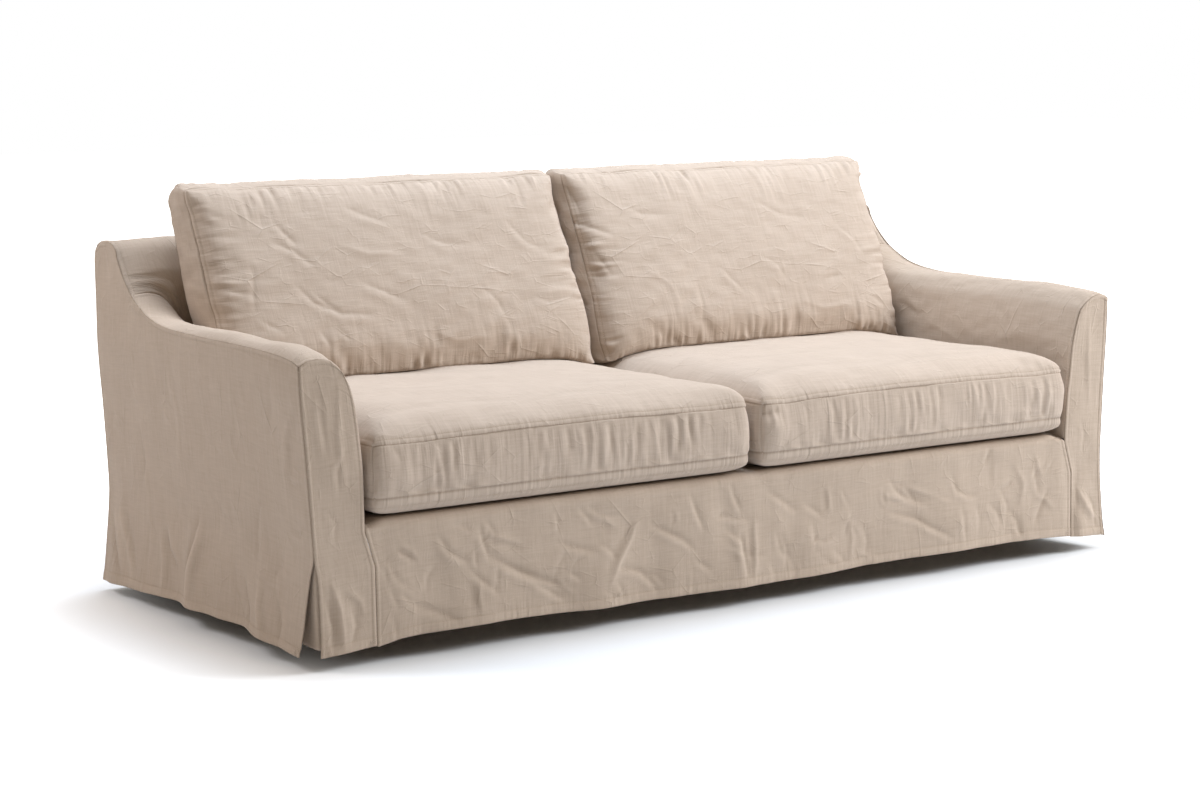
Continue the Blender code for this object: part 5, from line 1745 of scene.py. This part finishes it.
def mark_cushion(mesh, box, places, sides, puckers, raised):
    """The flat map of the cushion's cloth, its puckers, and its seams and relief for painted shade."""
    flat = places * np.array([box.half_x, box.half_y, box.depth])
    by_side = np.stack([flat[:, (1, 2)], flat[:, (0, 2)], flat[:, (0, 1)]])
    side_of_corner = np.repeat(sides, pulled(mesh.polygons, "loop_total"))
    write_cloth_map(mesh, by_side[side_of_corner, pulled(mesh.loops, "vertex_index")])
    to_seam, on_face = from_seams(box, places)[2:]
    to_stitches = np.where(on_face, np.abs(to_seam - CUSHION_STITCH_LINE), 1.0)
    write_cloth_marks(mesh, puckers, to_seam, to_stitches, raised)


def cushion(node_name, box, put, relief, swelling, gathered, shown, stitched):
    """A filled cover: its box of cloth, swollen by simulation, then subdivided, gathered and creased.

    Shown is the side of the box, and its end, with the finest mesh.
    """
    name = node_name + "_linen"
    piece, places = cut_cushion(name, box, put)
    swell(piece, swelling.held(places), swelling.cap)
    subdivided(piece)
    finer_side(piece, faces_on(piece.data, *shown))
    mesh = piece.data
    places, sides = lattice_marks(mesh)
    for attribute in ("place", "side"):
        mesh.attributes.remove(mesh.attributes[attribute])
    points = pulled(mesh.vertices, "co", 3) + ORIGIN
    puckers = cushion_puckers(box, places, gathered.reach, gathered.on_boxing)
    worn, sharp = relief(places, points)
    raised = sharp + seam_relief(box, places, puckers, gathered.depth, gathered.seed)
    points = points + pulled(mesh.vertex_normals, "vector", 3) * (raised + worn)[:, None]
    mesh.vertices.foreach_set("co", (points - ORIGIN).astype(np.float32).ravel())
    mesh.shade_smooth()
    mesh.update()
    mark_cushion(mesh, box, places, sides, puckers, raised)
    lines = stitch_rows(box, places, points, pulled(mesh.vertex_normals, "vector", 3), stitched)
    topstitch(name + "_topstitch", lines)
    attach(piece, "root")
    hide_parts(node_name)


def seat_cushion(which):
    low, high = SEAT_SPANS[which]
    half_x, half_y = (high - low) / 2, (SEAT_REAR - SEAT_FRONT) / 2
    middle_x, middle_y = (low + high) / 2, (SEAT_FRONT + SEAT_REAR) / 2
    depth = SEAT_SEAM - SEAT_LOW_SEAM
    box = Box(half_x, half_y, SEAT_CORNER, SEAT_DRAWN_IN, depth, SEAT_SOLE, SEAT_BOXING, SEAT_CROWN)

    def put(u, v, z):
        """Shares of half the width and of half the depth, and the height."""
        edge = np.maximum(np.abs(u), np.abs(v))
        middle = 1.0 - np.minimum(np.minimum(np.abs(u), np.abs(v)), 1.0) ** 2
        outer = smoothstep((edge - SEAT_RISE_INNER) / (1.0 - SEAT_RISE_INNER))
        band = 1.0 - smoothstep(np.abs(z - SEAT_SEAM) / SEAT_RISE_BAND)
        lift = SEAT_SEAM_RISE * middle * band * outer
        return np.stack([middle_x + u * half_x, middle_y + v * half_y, z + lift], axis=1)

    def held(places):
        return np.where(places[:, 2] <= 0.0, 1.0, 0.05)

    def relief(places, points):
        v, w = places[:, 1], places[:, 2]
        x, y, z = points.T
        on_top = w > 1.0 - NEAR
        on_front = (v < -1.0 + NEAR) & (w > 0.0)
        worn = crumpled(np.where(on_top | on_front, x, y), np.where(on_top, y, 3.0 + z), 120)
        on_top_lines = np.where(on_top, creased(SEAT_TOP_CREASES[which], x, y), 0.0)
        return worn, on_top_lines + np.where(on_front, creased(SEAT_BOXING_CREASES[which], x, z), 0.0)

    cushion(
        f"seat_cushion_{which}",
        box,
        put,
        relief,
        swelling=Swelling(held, cap=0.006),
        gathered=Gathers(depth=0.0017, reach=0.014, on_boxing=0.5, seed=SEAT_SEED[which]),
        shown=RIMS["front"],
        stitched=((1, "front"), (1, "left"), (1, "right"), (0, "front")),
    )


for which in SIDE:
    seat_cushion(which)

# --- Back cushions -------------------------------------------------------------------------------
# Two loose box cushions of the same linen with a soft fibre filling. They lean on the back, stand on
# the seat cushions, and carry the strongest creases of the whole set across their fronts.

BackCorner = namedtuple("BackCorner", "y z")
FRONT_BOTTOM = BackCorner(0.096, 0.502)
FRONT_TOP = BackCorner(0.292, 0.937)
REAR_BOTTOM = BackCorner(0.226, 0.502)
REAR_TOP = BackCorner(0.374, 0.920)
BACK_ABOVE_SEAT = 0.0040
BACK_LOWEST = 0.480
BACK_FOLLOWS = 0.30  # the share of its height over which it settles into the seat cushion
BACK_REAR = (Ring(0.000, 1.00), Ring(0.030, 1.12), Ring(0.100, 1.22), Ring(0.190, 1.28))
BACK_FRONT = (
    Ring(0.000, 0.00),
    Ring(0.004, -0.09),
    Ring(0.016, -0.19),
    Ring(0.046, -0.30),
    Ring(0.100, -0.38),
    Ring(0.190, -0.42),
)
BACK_BOXING = (Bulge(0.0, 0.0), Bulge(0.25, 0.008), Bulge(0.70, 0.009), Bulge(1.0, 0.0))
BACK_TOP_CROWN = 0.012
BACK_CROWN_FROM = 0.85
BACK_SPANS = {"left": (-0.958, 0.009), "right": (0.037, 0.960)}
BACK_CORNER = 0.024
BACK_NARROWS = 0.009  # low down, on the side of the arm
BACK_NARROW_TO = 0.22
BACK_FULL_FROM = 0.52
BACK_FULLER = {"left": 0.0, "right": 0.006}  # high up, on the side of the arm
BACK_SEED = {"left": 160, "right": 170}
# Creases on the front by x and z
BACK_CREASES = {
    "left": (
        Crease(0.0031, 0.0060, ((-0.775, 0.858), (-0.755, 0.832), (-0.728, 0.800))),
        Crease(0.0031, 0.0060, ((-0.795, 0.815), (-0.745, 0.792), (-0.695, 0.750))),
        Crease(0.0034, 0.0060, ((-0.765, 0.725), (-0.723, 0.677), (-0.665, 0.650), (-0.570, 0.640))),
        Crease(0.0025, 0.0050, ((-0.722, 0.700), (-0.690, 0.672), (-0.662, 0.652))),
        Crease(0.0025, 0.0060, ((-0.940, 0.722), (-0.900, 0.708), (-0.858, 0.698))),
        Crease(0.0025, 0.0055, ((-0.850, 0.765), (-0.862, 0.710), (-0.872, 0.660))),
        Crease(0.0025, 0.0060, ((-0.595, 0.885), (-0.540, 0.860), (-0.480, 0.838))),
        Crease(0.0028, 0.0066, ((-0.600, 0.715), (-0.540, 0.690), (-0.485, 0.668))),
        Crease(0.0024, 0.0055, ((-0.868, 0.650), (-0.838, 0.632), (-0.808, 0.615))),
        Crease(0.0022, 0.0050, ((-0.685, 0.620), (-0.668, 0.604), (-0.652, 0.588))),
        Crease(0.0022, 0.0050, ((-0.726, 0.618), (-0.714, 0.596), (-0.702, 0.575))),
        Crease(-0.0022, 0.0072, ((-0.640, 0.800), (-0.560, 0.775), (-0.470, 0.770))),
        Crease(0.0020, 0.0060, ((-0.420, 0.820), (-0.360, 0.790), (-0.280, 0.780))),
        Crease(0.0019, 0.0060, ((-0.300, 0.700), (-0.250, 0.650), (-0.230, 0.590))),
        Crease(-0.0019, 0.0072, ((-0.450, 0.600), (-0.380, 0.570), (-0.290, 0.575))),
        Crease(0.0019, 0.0060, ((-0.180, 0.840), (-0.130, 0.780), (-0.080, 0.760))),
        Crease(0.0017, 0.0055, ((-0.160, 0.660), (-0.110, 0.640), (-0.050, 0.650))),
    ),
    "right": (
        Crease(0.0037, 0.0055, ((0.010, 0.809), (0.042, 0.814), (0.065, 0.804), (0.120, 0.784))),
        Crease(0.0028, 0.0055, ((0.030, 0.915), (0.046, 0.895), (0.055, 0.865), (0.058, 0.815))),
        Crease(0.0025, 0.0055, ((0.058, 0.750), (0.076, 0.718), (0.092, 0.688))),
        Crease(0.0021, 0.0055, ((0.705, 0.645), (0.740, 0.650), (0.778, 0.652))),
        Crease(0.0021, 0.0050, ((0.855, 0.595), (0.872, 0.582), (0.892, 0.568))),
        Crease(0.0022, 0.0055, ((0.322, 0.655), (0.322, 0.605), (0.310, 0.555))),
        Crease(0.0022, 0.0055, ((0.402, 0.695), (0.432, 0.660), (0.462, 0.625))),
        Crease(0.0019, 0.0060, ((0.160, 0.860), (0.220, 0.830), (0.300, 0.825))),
        Crease(0.0019, 0.0066, ((0.560, 0.850), (0.640, 0.810), (0.720, 0.800))),
        Crease(-0.0019, 0.0072, ((0.180, 0.700), (0.240, 0.660), (0.260, 0.600))),
        Crease(0.0019, 0.0060, ((0.520, 0.720), (0.580, 0.690), (0.600, 0.640))),
        Crease(0.0019, 0.0055, ((0.800, 0.780), (0.850, 0.740), (0.870, 0.690))),
        Crease(-0.0017, 0.0066, ((0.620, 0.600), (0.690, 0.575), (0.780, 0.580))),
    ),
}


def seat_top(which, x, y):
    """The highest that a seat cushion's top may reach at a place."""
    low, high = SEAT_SPANS[which]
    z = read(SEAT_CROWN, np.minimum(np.minimum(x - low, high - x), SEAT_REAR - y))
    return z + SEAT_SEAM_RISE * (1.0 - smoothstep(np.abs(z - SEAT_SEAM) / SEAT_RISE_BAND))


def back_cushion(which):
    low, high = BACK_SPANS[which]
    side = SIDE[which]
    half_x, half_up = (high - low) / 2, 0.5 * math.dist(FRONT_BOTTOM, FRONT_TOP)
    middle_x = (low + high) / 2
    thickness = REAR_BOTTOM.y - FRONT_BOTTOM.y
    box = Box(half_x, half_up, BACK_CORNER, 0.0, thickness, BACK_REAR, BACK_BOXING, BACK_FRONT)

    def put(u, v, depth):
        """Depth runs from 1 at the rear seam to 0 at the front one."""
        up = (v + 1.0) / 2.0
        front_y, front_z = mix(FRONT_BOTTOM.y, FRONT_TOP.y, up), mix(FRONT_BOTTOM.z, FRONT_TOP.z, up)
        rear_y, rear_z = mix(REAR_BOTTOM.y, REAR_TOP.y, up), mix(REAR_BOTTOM.z, REAR_TOP.z, up)
        y, z = mix(front_y, rear_y, depth), mix(front_z, rear_z, depth)
        between_seams = np.maximum(1.0 - (2.0 * depth - 1.0) ** 2, 0.0)
        lift = BACK_TOP_CROWN * smoothstep((up - BACK_CROWN_FROM) / (1.0 - BACK_CROWN_FROM)) * between_seams
        low_down = 1.0 - smoothstep((up - BACK_NARROW_TO) / (BACK_FULL_FROM - BACK_NARROW_TO))
        spread = mix(BACK_FULLER[which], -BACK_NARROWS, low_down) * np.maximum(u * side, 0.0)
        x = middle_x + u * half_x + side * spread
        bottom = np.maximum(seat_top(which, x, y) + BACK_ABOVE_SEAT, BACK_LOWEST)
        sunk = (FRONT_BOTTOM.z - bottom) * (1.0 - smoothstep(up / BACK_FOLLOWS))
        return np.stack([x, y, np.maximum(z + lift - sunk, bottom)], axis=1)

    def held(places):
        v, w = places[:, 1], places[:, 2]
        return np.where((w <= 0.0) | (v <= -0.97), 1.0, 0.05)

    def relief(places, points):
        u, v, w = places.T
        x, y, z = points.T
        on_front = w > 1.0 - NEAR
        flat = (w < NEAR) | on_front
        across = np.where(np.abs(u) > 0.9999, 4.0 + y, x)
        worn = 0.9 * crumpled(across, np.where(flat, z, 3.0 + y), 150, stretch=0.5)
        sharp = np.where(on_front, creased(BACK_CREASES[which], x, z), 0.0)
        above = smoothstep((v + 1.0) * half_up / 0.02)
        return worn * above, sharp * above

    cushion(
        f"back_cushion_{which}",
        box,
        put,
        relief,
        swelling=Swelling(held, cap=0.008),
        gathered=Gathers(depth=0.0026, reach=0.050, on_boxing=0.25, seed=BACK_SEED[which]),
        shown=UPPER_FACE,
        stitched=((1, "left"), (1, "right"), (1, "rear")),
    )


for which in SIDE:
    back_cushion(which)
